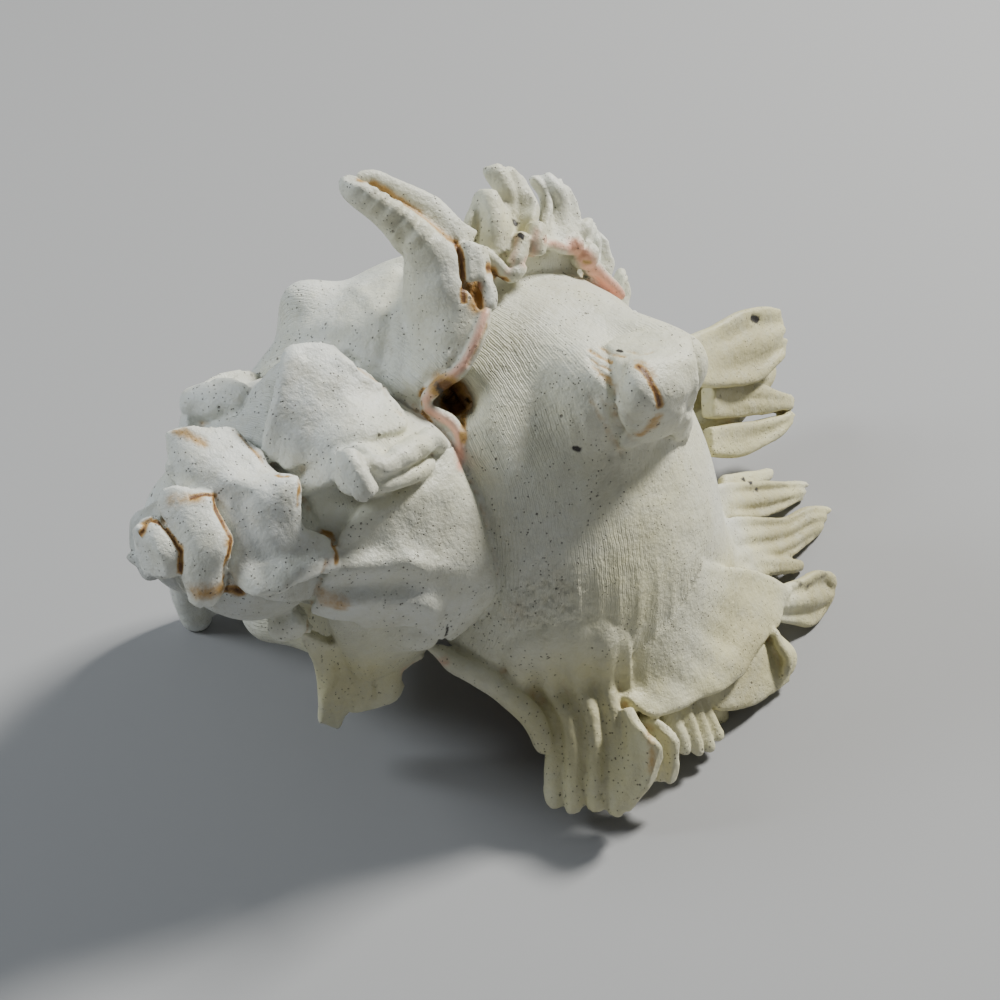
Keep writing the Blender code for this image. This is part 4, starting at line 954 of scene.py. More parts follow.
tubes = (
    dict(  # spine core
        path=((66, 40, 28.1), (63.7, 44.6, 29.1), (60.8, 49, 28.5), (57.4, 53.6, 26.6),
              (54.3, 57, 24.1), (51.7, 60, 21.8)),
        radii=((6, 6), (5.4, 5.4), (4.2, 4.2), (3, 3), (2.3, 2.2), (1.4, 1.3)),
    ),
    dict(  # plate edge
        path=((67.4, 40.3, 36.1), (67.2, 37.4, 37.3), (65.9, 34.8, 37.5)),
        radii=((1.5, 1.2),),
    ),
    dict(  # V5 lobe
        path=((35.8, 20.6, 0.7), (33.5, 22.2, -3.2), (31.5, 23.1, -7.1), (30.1, 23.1, -10.7)),
        radii=((5.5, 5), (4.6, 4.2), (3.9, 3.6), (2.4, 2.8)),
        lump=0.08, lumps=2,
    ),
    dict(  # W3 knob
        path=((25.3, 4.5, 13.8), (24.2, 6.7, 18.2), (24.2, 8.6, 20.8)),
        radii=((5, 5), (3.6, 3.4), (2.5, 2.2)),
    ),
    dict(  # W4 knob
        path=((14.9, 1.2, 8.2), (15.3, -0.3, 10.6), (15.6, -1.1, 12)),
        radii=((3.6, 3.4), (2.5, 2.3), (1.5, 1.4)),
    ),
    dict(  # W4 foot
        path=((13.2, -6.1, 7.8), (12, -8.8, 8), (11.7, -11, 7.1)),
        radii=((3.4, 3), (2.9, 2.6), (1.7, 1.6)),
    ),
    dict(  # apex turn
        path=((5.7, 4.1, 2.6), (4.6, 3, 1.9), (4, 1.1, 1.9), (4.2, -1, 2.6), (4.7, -1.8, 4.1),
              (5.1, -0.6, 5.2), (5, 0.9, 5.1)),
        radii=((1.3, 1.3),),
    ),
    dict(  # V2 spine
        path=((57, -10, -43), (61.5, -15, -49.9), (66.1, -22.9, -56.8), (70.5, -31.9, -61.4)),
        radii=((7, 7), (6, 6), (4.6, 4.6), (3.2, 3.2)),
    ),
    dict(  # rim
        path=((65.6, 35.2, 37.7), (64.2, 32.6, 37.3), (62.6, 29.4, 36.6), (61.2, 26.2, 35.3),
              (59.9, 23.9, 33.6), (58.8, 22.5, 31.3), (57.8, 20.8, 28.9), (57.2, 19, 27.3),
              (57.3, 17, 27.4), (58.1, 15.7, 28.8), (59.1, 14, 31), (59.5, 11.6, 32.3),
              (59.4, 8.9, 32.5), (59.2, 5.8, 32.2)),
        radii=((1.6, 1.2),),
    ),
    dict(  # collar fold a
        path=((70.5, 45.6, 33.1), (72.6, 43.2, 34.5), (74.7, 41, 35.2), (75.6, 40.1, 35.7)),
        radii=((2, 1.4), (1.5, 1.2)),
    ),
    dict(  # collar fold b
        path=((75.2, 40.2, 35.2), (76.4, 40.8, 36.6), (78.1, 42.1, 37.4)),
        radii=((1.5, 1.2), (1.5, 1.3), (1, 1)),
    ),
    dict(  # column
        path=((80.7, 47.6, 36.2), (79, 45, 36.4), (76.6, 42.1, 36.4)),
        radii=((2.4, 2), (2, 1.8), (1.8, 1.4)),
    ),
    dict(  # lobe
        path=((84.2, 49.2, 36.9), (82.8, 46.1, 37.5), (82.7, 43.9, 37.1)),
        radii=((2.6, 2), (2.6, 2.2), (3, 2)),
    ),
    dict(  # spinelet a
        path=((98.9, 45.8, 35.6), (100.1, 47.4, 36.7), (102.1, 49.1, 37.2)),
        radii=((2.2, 2.2), (1.5, 1.5), (0.5, 0.5)),
    ),
    dict(  # spinelet b
        path=((100, 44.7, 35.6), (102.1, 46.3, 36.3), (104, 47.6, 36.6)),
        radii=((2.2, 2.2), (1.4, 1.4), (0.5, 0.5)),
    ),
    dict(  # pink edge
        path=((82.3, 44, 35.9), (87.3, 45.5, 36.8), (92.8, 44.4, 36.5), (96.8, 43.5, 36.8)),
        radii=((1.2, 1.2),),
    ),
    dict(  # pink lobe a
        path=((95.6, 45.6, 36.5), (96.4, 44.1, 37), (97, 43, 37.1)),
        radii=((2, 2), (2.2, 2.2), (1.2, 1.2)),
    ),
    dict(  # pink lobe b
        path=((97.9, 43.6, 36.5), (99.7, 42, 36.7), (101.3, 40.3, 36.6)),
        radii=((2.6, 2.4), (3.1, 2.8), (1.6, 1.6)),
    ),
    dict(  # pink finger
        path=((100.9, 40.8, 36), (106.2, 37.5, 35.2), (111.5, 34.5, 34.3), (115.6, 32.3, 33.5)),
        radii=((1.8, 1.8), (1.6, 1.6), (1.4, 1.4), (1, 1)),
    ),
    dict(  # rim of frond c
        path=((137.4, -45.2, 45.1), (137.5, -44.4, 48.2), (137.2, -47.4, 50.1), (137.7, -50.1, 51.3),
              (137.2, -54.4, 50.1)),
        radii=((1.3, 1.1),),
    ),
    dict(  # V4 root
        path=((32.1, 9.7, 29.5), (37.3, 8.8, 28.1), (42.3, 8, 26.4)),
        radii=((4.5, 4.5), (5, 5), (5, 5)),
    ),
    dict(  # V4 roll
        path=((31, 11.5, 30.1), (33.6, 9.8, 32.1), (37.5, 9.8, 33.5), (41.5, 10.7, 33.5),
              (46.6, 11.5, 33.1), (51.4, 11.9, 32.5), (54.4, 9.7, 31.8)),
        radii=((1.8, 1.7), (2.4, 2), (2, 1.9), (2.5, 2.3), (2.4, 2.2), (2.2, 2), (1.6, 1.8)),
        lump=0.12, lumps=5,
    ),
    dict(  # V4 under
        path=((34.5, 6.5, 31.5), (38.4, 6.6, 32.2), (42.6, 6.8, 32.5), (46.6, 7, 32.5),
              (51.3, 8.1, 31.5)),
        radii=((1.6, 1.6), (2, 1.9), (2, 1.9), (2, 1.9), (1.6, 1.6)),
    ),
    dict(  # V5 second
        path=((34.8, 22.6, -0.1), (33.9, 24.6, -3.2), (32.7, 25.8, -5.8)),
        radii=((4, 3.5), (3, 3), (1.6, 1.6)),
    ),
    dict(  # V0 roll
        path=((65, -31.8, 11.8), (67, -33.2, 13.7), (68.3, -35.7, 16.7), (69.6, -37.7, 20.6),
              (71.8, -40.7, 24.1), (73.5, -44.3, 27.4), (75.1, -48, 29.7), (76.1, -52.2, 30.9),
              (76.5, -55.6, 31.2)),
        radii=((0.8, 0.8), (2.2, 2.1), (2.9, 2.7), (3, 2.7), (2.7, 2.5), (2.2, 2)),
    ),
    dict(  # white lobe
        path=((37.4, -19.1, 6.5), (35.5, -20.7, 3.8), (35, -22.1, 1.2)),
        radii=((4, 3.6), (3.5, 3.2), (2, 2)),
    ),
)

pillarTube = {
    "path": ((58, 0, 0), (90, 0, 0), (125, 0, 1), (158, -1, 3)),
    "radii": ((14, 14), (13, 13), (12, 12), (7, 7)),
    "across": (0, 0, 1),
}
canalTube = {
    "path": ((112, -2, 0), (134, -4, 2), (156, -4, 5), (176, -1, 8), (190, 4, 11), (201, 9, 15)),
    "radii": ((6, 6), (15, 13), (15, 12), (12, 9), (9, 6.5), (6, 3.5)),
    "across": (0, -0.37, 0.93),
    "groove": 0.55, "grooveAt": -1.2, "hollow": 6.0,
}

parts = [whorls(), tubeAlong(pillarTube), tubeAlong(canalTube)]
parts += [leaf(spec) for spec in fronds]
parts += [sheet(spec) for spec in sheets] + [tubeAlong(spec) for spec in tubes]
parts += [backing(spec) for spec in sheets if "backed" in spec]
print("grown:", len(parts), "surfaces,", sum(len(p[0]) for p in parts), "points")


def standing(points):
    # From the shell's own axes to the ground: the roll about the axis, then the tilt.
    r = math.radians(stand["rollAngle"])
    a = math.radians(-stand["apexRise"])
    y = points[:, 1] * math.cos(r) + points[:, 2] * math.sin(r)
    z = -points[:, 1] * math.sin(r) + points[:, 2] * math.cos(r)
    along = points[:, 0] * math.cos(a) - y * math.sin(a)
    up = points[:, 0] * math.sin(a) + y * math.cos(a)
    return np.stack([along, -z, up], axis=-1)


def toFrame(points):
    # On the ground, measured from the frame's origin, in metres.
    return (standing(points) - np.array(stand["middle"])) * 0.001


def meshOf(name, points, quads, tris, marks):
    # An object of these points and faces, with the marks as its coil attribute.
    mesh = bpy.data.meshes.new(name)
    mesh.from_pydata(points.tolist(), [], quads.tolist() + tris.tolist())
    layer = mesh.color_attributes.new("coil", "FLOAT_COLOR", "POINT")
    layer.data.foreach_set("color", marks.astype(np.float32).ravel())
    obj = bpy.data.objects.new(name, mesh)
    bpy.context.scene.collection.objects.link(obj)
    return obj


def joined(parts):
    # All the surfaces in one list of points and faces. The growth angle is kept as a share, 0
    # at the apex and 1 at the lip.
    starts = np.cumsum([0] + [len(p[0]) for p in parts[:-1]])
    points = np.concatenate([p[0] for p in parts])
    quads = np.concatenate([p[1] + start for p, start in zip(parts, starts)])
    tris = np.concatenate([p[2] + start for p, start in zip(parts, starts)])
    marks = np.concatenate([p[3] for p in parts])
    marks[:, 0] = 1.0 - marks[:, 0] / coil["firstTurn"]
    return points, quads, tris, marks


def finished(obj):
    # A new mesh from the object with its modifiers worked out.
    graph = bpy.context.evaluated_depsgraph_get()
    return bpy.data.meshes.new_from_object(obj.evaluated_get(graph))


def read(mesh):
    # The mesh's points, their normals and their marks: growth angle, s, share of a frond's
    # length, and 1 inside the aperture.
    points = np.empty(len(mesh.vertices) * 3)
    mesh.vertices.foreach_get("co", points)
    normals = np.empty(len(mesh.vertices) * 3)
    mesh.vertices.foreach_get("normal", normals)
    marks = np.empty(len(mesh.vertices) * 4, np.float32)
    mesh.color_attributes["coil"].data.foreach_get("color", marks)
    age, s, frond, inside = marks.reshape(-1, 4).astype(float).T
    return points.reshape(-1, 3), normals.reshape(-1, 3), ((1.0 - age) * coil["firstTurn"], s, frond, inside)


fuse = {
    "voxel": 0.5,  # mm
    "triangles": 190000,
    "seenWeight": 0.5,  # how freely the seen side is thinned, where the side turned away has 1
    "hiddenCost": 0.03,  # how much the weights count
    "crisp": 0.5,  # share of the forms under a few millimetres that is added once more
    "crispMost": 0.4,  # and the most it moves a point, mm
    "crispRings": 40,  # rings of neighbours that count as its surroundings
}

source = meshOf("grown", *joined(parts))
shell = bpy.data.objects.new("murexShell", source.data.copy())
bpy.context.scene.collection.objects.link(shell)
remesh = shell.modifiers.new("fuse", "REMESH")
remesh.mode = "VOXEL"
remesh.voxel_size = fuse["voxel"]
fused = finished(shell)
shell.modifiers.clear()
shell.data = fused
print("fused:", len(fused.vertices), "points")


def carryMarks(obj, origin):
    # The coil marks of the nearest place on the grown surfaces, carried to the fused one.
    if "coil" not in obj.data.color_attributes:
        obj.data.color_attributes.new("coil", "FLOAT_COLOR", "POINT")
    carry = obj.modifiers.new("carry", "DATA_TRANSFER")
    carry.object = origin
    carry.use_vert_data = True
    carry.data_types_verts = {"COLOR_VERTEX"}
    carry.vert_mapping = "POLYINTERP_NEAREST"
    mesh = finished(obj)
    obj.modifiers.clear()
    obj.data = mesh


carryMarks(shell, source)
bpy.data.objects.remove(source)

lines = {
    "pleat": 0.4,  # height of the pleats that run down into the lip's first fronds, mm
    "pleats": (26.0, 0.3),  # how many there would be across the whorl, how far they wander
    "pleatShape": (1.8, 0.35),  # how narrow their tops are, and how far they are let in
    "pleatFrom": (-60.0, -22.0),  # growth angles between which they rise
    "pleatSpan": ((0.1, 0.17), (0.36, 0.5)),  # s between which they begin, and end
    "fine": 0.06,  # height of the fine cords, mm
    "fines": (92.0, 1.4),
    "fineFrom": (-116.0, -108.0),  # growth angles between which they rise
    "fold": 0.6,  # height of the folds down the face of the last knob
    "folds": (44.0, 0.2),
    "foldAt": (73.0, 63.0, 80.0),  # along the axis, from it and about it
    "lane": (0.045, 16.0),  # how often the wander changes: per degree, and across the whorl
    "patchy": (0.5, 0.9, 1.7, 4),  # fine cords come and go: middle, swing, size and seed
    "suture": 0.9,  # depth of the suture, mm
    "sutureReach": 0.9,
    "worn": ((0.12, 4.2, 11), (0.264, 11.0, 12)),  # unevenness: height and size in mm, and seed
    "patchAt": (70.5, -24.0, 40.0),  # middle of the wrinkled patch
    "patch": (0.22, 150.0, 1.1),  # height of its wrinkles, mm, and how close they are both ways
    "patchGrain": (0.3, 1.1, 21),  # height and size of its lumps in mm, and seed
    "dentGrain": (1.4, 1.3, 22),  # the same in a dent
    "reach": 9.0,  # reach of the patch and of the knob's folds, mm
}

# Strokes on the worn shell: tint, its share, width and depth in mm (minus raises), and the
# places that the line runs through.
strokes = (
    ("brown", 0.95, 0.5, 0.5,
     ((5.1, 4.9, 2.3), (6.1, 5.3, 3.5), (6.9, 4.2, 5), (7.5, 1.5, 7), (7.4, 0.8, 7.7), (7.7, -0.7, 8.5),
      (7.4, -1.6, 8.5), (7.3, -2.5, 8.4), (7.6, -4.5, 7.6))),
    ("brown", 0.8, 0.6, 0.6,
     ((5.3, 4.3, 2.8), (4.3, 3.7, 3), (3.7, 3, 2.7), (4.7, 0.4, 0.8), (5.1, -0.6, 0.7),
      (5.2, -1.6, 1.1), (5.3, -1.8, 1.9), (5, -1.8, 3.3))),
    ("brown", 0.95, 0.55, 0.5,
     ((11.3, 8.3, 9), (13.7, 8.6, 10.2), (14.3, 8.3, 10.7), (15.4, 8, 10.6), (14.6, 7.2, 11.4),
      (14, 5.6, 12.1), (14.2, 1.3, 14.4), (14.5, 0.4, 14.5), (13.8, -0.5, 14.8), (13, -3.2, 14.4),
      (13.1, -5, 13.6), (13.7, -7.2, 12.3), (19.5, -9, 7.1), (20.1, -9.7, 7.4), (20.6, -10.3, 8))),
    ("brown", 0.9, 0.6, 0.5,
     ((33, -2.2, 19.1), (33.8, -2.7, 20.3), (33.9, -3.7, 20.5), (31.5, -4.1, 23.2), (31.6, -5.6, 23.9),
      (30.4, -7.1, 24.5))),
    ("brown", 0.6, 0.45, 0.35,
     ((25.1, 17.8, 9.1), (25.3, 16.1, 10.5), (25.1, 14.5, 12.3), (25.9, 11.3, 14.9), (23.7, 10.1, 19.3),
      (24.2, 10, 20.4), (25.2, 9.7, 21), (30.8, 8.7, 16.9), (25.6, 8.7, 22.1), (25.1, 7.8, 22.5),
      (24.7, 6.1, 22.6), (24.6, 4.4, 22.2))),
    ("brown", 0.25, 0.6, 0.5,
     ((28.5, -6.3, 23.9), (27.7, -7.3, 24), (27.2, -8.4, 23.7), (30.7, -10.4, 19.4),
      (30.1, -13.8, 17.7), (38.2, -17, 8.8), (52.8, -22, -6.8), (52.4, -23.2, -6.9), (38.5, -20.8, 6.8),
      (36.5, -21.5, 8.3), (36.6, -22.7, 7.7), (41.1, -25.3, 2.6))),
    ("soot", 0.8, 0.4, 0.4, ((53.8, -24.1, 28.9), (54.7, -27.4, 27), (67.7, -32.1, 15.1))),
    ("brown", 0.5, 0.9, 0.5,
     ((48.5, 61.9, 23.1), (49.3, 61.3, 25), (50.9, 61.1, 24.9), (53.1, 60.5, 24), (54.6, 59.4, 24.9),
      (58.7, 54.7, 28.6), (60.1, 52.5, 30.7), (61.7, 50, 32.3), (62.3, 49.1, 32.8),
      (63.5, 48.1, 32.8))),
    ("brown", 0.95, 0.7, 0.6,
     ((64.1, 47.8, 33), (63.7, 46.7, 33.9), (63.7, 45.5, 34.4), (63.6, 43.4, 34.5), (63, 41.4, 34.9),
      (64.4, 40.2, 33.6), (61.9, 39.2, 35.6), (61.7, 37.1, 35.6))),
    ("brown", 0.6, 2, 0.3, ((67.3, 38.9, 33.4), (68.2, 36.9, 32.9), (63.7, 36.1, 36.8))),
    ("pink", 0.8, 1.6, 0, ((66.1, 39.3, 35.7), (68.8, 38.2, 33.5), (68, 36.1, 34.2))),
    ("pink", 0.7, 1.5, 0,
     ((63.8, 34.4, 38.6), (61.5, 30.3, 38.2), (59.4, 25.6, 36.1), (57.9, 23.6, 34.2),
      (55.8, 20.4, 29.6), (55.5, 18.8, 28.3))),
    ("pink", 0.75, 1.5, 0,
     ((55.8, 17, 28.5), (57.5, 14.2, 32.1), (58, 11.8, 33.4), (57.9, 7.1, 33.2), (56.8, 6.2, 34))),
    ("brown", 0.85, 0.4, 0.3,
     ((56.6, 21.4, 27.5), (56.5, 19.5, 26.1), (55.6, 18.5, 26.9), (56.3, 17.2, 26.3),
      (56.4, 15.2, 28.3))),
    ("soot", 0.12, 1.5, 1.1,
     ((53.8, 52.9, 29), (53.8, 51.8, 29), (55.3, 48.6, 27.9), (57.3, 46.3, 25.5), (71.6, 44.8, 12.5),
      (69.1, 43.6, 14.4), (63.1, 38.5, 17.3), (58.7, 33.6, 18.6), (55.6, 26, 18.7),
      (55.5, 22.2, 19.3))),
    ("brown", 0.3, 0.7, 0.6,
     ((53.3, 27.4, 12.8), (44.4, 27.4, 22.2), (44.6, 26.6, 23.1), (45.3, 25.7, 23.6),
      (47.2, 24.2, 24.3), (50.9, 23.1, 22.1), (48, 22.6, 25.3), (48.1, 19.8, 27.1), (47, 17.7, 29.8))),
    ("", 0, 1.2, -0.4, ((33.2, 31.7, 15), (29.5, 24.8, 15.4), (28, 20.9, 14.6), (27.3, 17, 13.3))),
    ("brown", 0.8, 2.5, 0,
     ((56.8, 21.6, 31.6), (57.5, 21.2, 32.2), (67.3, 19.5, 26), (68.6, 18.2, 25.4), (65.9, 17.3, 28.4),
      (66.5, 16.3, 27.1), (64.4, 15.6, 28), (66.7, 17.3, 24.3))),
    # Soot across the deep hole under the rim: painted shade in that hole.
    ("soot", 0.6, 1, 0,
     ((56.3, 21.9, 30.8), (56.6, 21.1, 31.2), (57.3, 20.4, 31), (65, 18.5, 24.9), (66.4, 17.4, 24.4))),
    ("brown", 0.6, 0.8, 0,
     ((63.2, 15.1, 30.6), (59.3, 13.1, 33.7), (58.8, 12, 34.1), (58.7, 10.9, 34.1))),
    ("brown", 0.3, 0.5, 0.5,
     ((65, 33.7, 38.8), (64.1, 32.6, 38.8), (62.3, 29.4, 38.3), (60.5, 25.9, 36.8),
      (60.2, 25.1, 36.2))),
    ("brown", 0.8, 1.1, 0.5,
     ((67.9, 42.4, 37.2), (72.4, 41.4, 34.5), (74.5, 40.4, 33.8), (74.1, 39.5, 35.7))),
    ("soot", 0.6, 0.6, 0, ((72.6, 41.3, 34.3), (75.7, 39.9, 33.3))),
    ("pink", 0.45, 1.3, 0,
     ((77.9, 47.4, 36.9), (75.6, 44, 37.4), (74.9, 42.1, 36.9), (74, 41.1, 37.1))),
    ("pink", 0.5, 1.5, 0,
     ((81.2, 48.1, 39.3), (80.3, 44.3, 39), (82.5, 43.5, 36.3), (78.6, 42.9, 38.5),
      (77.2, 42.3, 38.6))),
    ("pink", 0.65, 1.2, 0, ((82.7, 46.3, 40.4), (87.2, 45.7, 38.2), (94.3, 43.6, 38.2))),
    ("pink", 0.9, 2.3, 0, ((94.4, 44.3, 38.4), (98.3, 40.4, 38.8))),
    ("pink", 0.95, 2.3, 0, ((98.2, 40, 38.6), (113.5, 32.4, 34.9))),
    ("brown", 0.6, 0.5, 0.4, ((97.5, 40.9, 38.2), (98.5, 40.7, 39.2))),
    ("soot", 0.9, 0.6, 0, ((82.5, 50.6, 33.1), (82.8, 50, 33.3))),
    ("soot", 0.9, 0.5, 0, ((78.3, 48.1, 37.4), (78.6, 47.2, 38.3))),
    ("brown", 0.85, 0.8, 0.45,
     ((76.3, 21.5, 63.5), (76.4, 19.9, 65.1), (76.8, 17.8, 65.9), (77.9, 15.4, 66),
      (79.1, 13.7, 65.6))),
    ("brown", 0.3, 0.8, 0, ((77, 22.6, 62.7), (77.7, 21.6, 64.8), (78, 19.3, 66.2))),
    ("brown", 0.4, 1.6, 0, ((80.2, 11.1, 63.9), (81.5, 8.7, 61.1), (80.9, 7.7, 59.1))),
    ("brown", 0.4, 0.55, 0.5,
     ((77, 24.8, 52.3), (77.3, 23.3, 54.5), (77.8, 22.7, 55.4), (77.7, 22.2, 56.6))),
    ("brown", 0.35, 0.5, 0.45, ((75.8, 23.5, 53.1), (76, 21.9, 55.2), (76.9, 20.9, 56.8))),
    ("brown", 0.4, 0.5, 0.45, ((75, 22.1, 54.1), (75.4, 20.4, 55.7), (76.1, 19.3, 57.2))),
    ("brown", 0.3, 0.5, 0.45, ((74.7, 20.5, 55.3), (75.3, 18.9, 56.5), (76.4, 18, 57.3))),
    ("brown", 0.35, 0.6, 0.5,
     ((79.5, 25.2, 52.9), (79.5, 24.6, 53.8), (78.7, 23.6, 56.1), (78.9, 23.1, 58.9))),
    ("brown", 0.3, 0.6, 0.4,
     ((80.5, 24, 58.6), (80.7, 23.7, 59.8), (79.7, 23.4, 61.9), (80.6, 23.4, 62.6),
      (82.3, 23.4, 62.8))),
    ("brown", 0.12, 1.2, 0.6,
     ((75.8, 20.6, 60.1), (75.5, 19.5, 59.7), (76.2, 17.2, 58), (75, 13.9, 59.8), (76.3, 11.7, 60.2),
      (77.7, 10.5, 59.8))),
    ("brown", 0.15, 1.2, 0.9,
     ((74.4, 16.4, 55.4), (75.3, 14.5, 56.1), (78.4, 11.4, 55.6), (80.3, 7.8, 57.1),
      (81.9, 6.8, 56.8))),
    ("brown", 0.2, 1, 0.8,
     ((73.5, 16.2, 53.7), (75.9, 11.3, 54.4), (79.8, 7.6, 53.2), (81.2, 5.5, 53.6), (83, 4.3, 52.9))),
    ("", 0, 1, 0.5,
     ((72.5, 17.9, 51.9), (73.1, 15, 52.8), (74, 12.7, 53.1), (76.8, 8.8, 52.7), (80.2, 4, 51.6))),
    ("", 0, 1, -0.6,
     ((74.7, 17.1, 57.2), (75.8, 15.2, 57.6), (75.1, 14.4, 58.7), (75.3, 12.6, 59.7), (78, 9.7, 59.5))),
    ("", 0, 1.6, 0.7,
     ((89.2, 14.1, 66.2), (94, 10.3, 62.1), (89.6, 10, 64.4), (92.8, 7.8, 60.8), (91, 7.2, 60.8),
      (90.7, 6.5, 59.8), (95.5, 5.1, 55.3), (90.2, 5.3, 57.9), (93.3, 4.2, 54.7), (91.9, 3.9, 54.5))),
    ("soot", 0.95, 0.55, 0.2, ((79.7, 24.4, 56.9), (79.8, 24.2, 57.7))),
    ("soot", 0.8, 0.7, 0.2, ((73.9, 6.7, 48.6), (74.8, 6.1, 49.1))),
    ("soot", 0.7, 0.45, 0, ((95.2, 39.4, 34.4), (95.2, 38.7, 35.6))),
    ("brown", 0.35, 2.2, 0, ((31, -14.1, 19.4), (33.2, -16, 21.6))),
    ("brown", 0.35, 1.6, 0, ((8.8, 8.4, 6.7), (12.3, 8.1, 10.2))),
    ("brown", 0.4, 2.2, 0, ((8.6, -8.3, 9.9), (10.8, -8.8, 11.9), (12.9, -8.5, 12.1))),
    ("brown", 0.9, 1, 0.3, ((19.9, -10.6, 5.9), (20.8, -11.1, 8.1))),
    ("brown", 0.35, 1, 0, ((13, 0.4, 14.8), (13, -0.4, 15.1), (13.5, -1.2, 14.8))),
    ("brown", 0.4, 1.3, 0.3, ((15.5, 20.2, 2.7), (17.7, 17.2, 7.2))),
    ("soot", 0.95, 1, 0.8, ((184.6, 21, 22), (186.9, 20.2, 21.6))),
    ("soot", 0.85, 0.9, 0, ((174.9, -16.7, 21.2), (166.2, -15.9, 28.3))),
    ("soot", 0.8, 0.6, 0, ((169.5, -18.2, 27.7), (171.4, -18.8, 27.3))),
    ("soot", 0.45, 1.6, 0,
     ((153.2, -36.2, 46), (153.8, -36.9, 46.6), (157.4, -38.9, 46.5), (165.4, -37.4, 46.8))),
    ("soot", 0.35, 0.9, 0,
     ((140.1, -46.7, 50.2), (137.8, -48.3, 52.4), (137.8, -49.4, 52.8), (137, -50.5, 52.8),
      (136.6, -54.3, 51.4))),
    ("soot", 0.35, 1.4, 0, ((102.5, -47, 49.7), (104.2, -46.6, 50.1))),
    ("soot", 0.8, 0.5, 0, ((76.7, -64.5, 33.1), (76.4, -64.9, 34.9))),
    ("brown", 0.3, 1.4, 0,
     ((92.1, -53.8, 45.5), (84.8, -52.6, 51), (83.9, -53.4, 51.9), (83.7, -54.5, 52.1),
      (84.2, -59.9, 51.1))),
    ("", 0, 0.7, -0.4,
     ((84.3, -47.7, 46.1), (83.6, -48.7, 46.7), (83.2, -51, 47.4), (83.1, -51.3, 48.6),
      (83.8, -52, 50.5), (83.7, -53.9, 52), (85, -55.2, 53.3), (85.2, -56.4, 53.1), (86, -57.9, 52.4),
      (92.6, -61.4, 47.6), (92.6, -62.6, 47.5), (92.5, -63.5, 46.6), (86.2, -62.2, 50.2))),
    ("pink", 0.5, 1.6, 0,
     ((63.3, -37, 7.3), (66.7, -36.1, 10), (65, -35.3, 13.3), (66, -35.4, 14.3), (65.7, -35.1, 16.3))),
    ("pink", 0.35, 0.9, 0, ((28, -7.1, 24), (30.5, -6.3, 24.3), (31.7, -4.3, 23.3))),
    ("", 0, 1.8, -0.7,
     ((33.6, -16.1, 22), (38.8, -16.2, 26.3), (43.8, -17.6, 28.9), (48.2, -20.3, 30.2))),
    ("", 0, 1.8, -0.6, ((32.1, -8.9, 23.9), (35.7, -8.4, 27.3), (41.8, -9, 31.1), (48.3, -11.4, 33.5))),
    ("", 0, 2, -0.7,
     ((41.3, -6, 30), (42.8, -9.1, 31.6), (45.5, -12.5, 32), (47.4, -18.8, 30.7), (50.4, -22.8, 29))),
    ("", 0, 1.6, 0.5, ((33, -12.6, 21.4), (38.5, -12.7, 26.1), (43.3, -13.5, 28.6))),
    ("", 0, 1.6, -0.9, ((34.2, 31.5, 17.1), (29.4, 22.8, 16), (26.7, 14.5, 12.6))),
    ("", 0, 1.4, -0.7, ((41.7, 28.9, 21.8), (48.3, 23, 25), (55.6, 21.7, 19.3), (54.9, 20.6, 22.2))),
    ("", 0, 2, 0.6,
     ((31, 8.9, 17.2), (31.5, 9.9, 17.5), (30.8, 11, 19), (32, 15.1, 20.8), (36.8, 22.1, 21.7))),
    ("soot", 0.35, 0.35, 0.25,
     ((31.8, 14.7, 20.6), (33.4, 15.5, 23.7), (35.4, 16.6, 25.6), (37.2, 17.8, 26.2))),
    ("", 0, 0.8, -0.5,
     ((53.2, -45.9, -7.9), (49.8, -41.2, -3.4), (49.1, -39.8, -2.4), (47.8, -35.8, 0.9),
      (47.5, -33.3, 2.4))),
    ("", 0, 0.8, 0.5,
     ((54.6, -46.2, -7.1), (51.2, -41.5, -2.4), (50.6, -40.1, -1.4), (50.1, -37.4, 0.5),
      (50.2, -36.1, 1.2), (50.6, -35, 1.4))),
    ("", 0, 1, -0.5, ((58.3, -42.5, 3.2), (56.6, -39.4, 4.4), (56.1, -38.1, 4.6), (49.2, -31.9, 9.3))),
    ("", 0, 1.2, 0.5, ((54.8, -40.6, 2.1), (53, -36.4, 2.3), (51.5, -34.8, 3.4), (49.8, -32.2, 4.3))),
    ("", 0, 1.6, -0.4, ((63.8, 41.8, 5.4), (59.8, 38.7, 13.5), (58.2, 36.4, 16), (57.5, 32.8, 18.3))),
    ("soot", 0.7, 0.9, 0.8, ((53.2, 28.8, 12), (53.4, 27.4, 13.5))),
)
dents = (  # middle, direction pushed in, depth and reach in mm
    ((62.1, 19.6, 28.6), (0.76, -0.08, -0.65), 6.5, 4.2),
)


def strokeShare(points, path, width):
    # 1 on the line through the path's places, falling as a bell with the distance from it.
    path = np.asarray(path, float)
    share = np.zeros(len(points))
    low, high = path.min(0) - 3 * width, path.max(0) + 3 * width
    near = np.nonzero(((points > low) & (points < high)).all(axis=1))[0]
    away = np.full(len(near), 1e9)
    for a, b in zip(path[:-1], path[1:]):
        p = points[near] - a
        along = np.clip(p @ (b - a) / max((b - a) @ (b - a), 1e-9), 0.0, 1.0)
        away = np.minimum(away, np.linalg.norm(p - along[:, None] * (b - a), axis=1))
    share[near] = np.exp(-((away / width) ** 2))
    return share


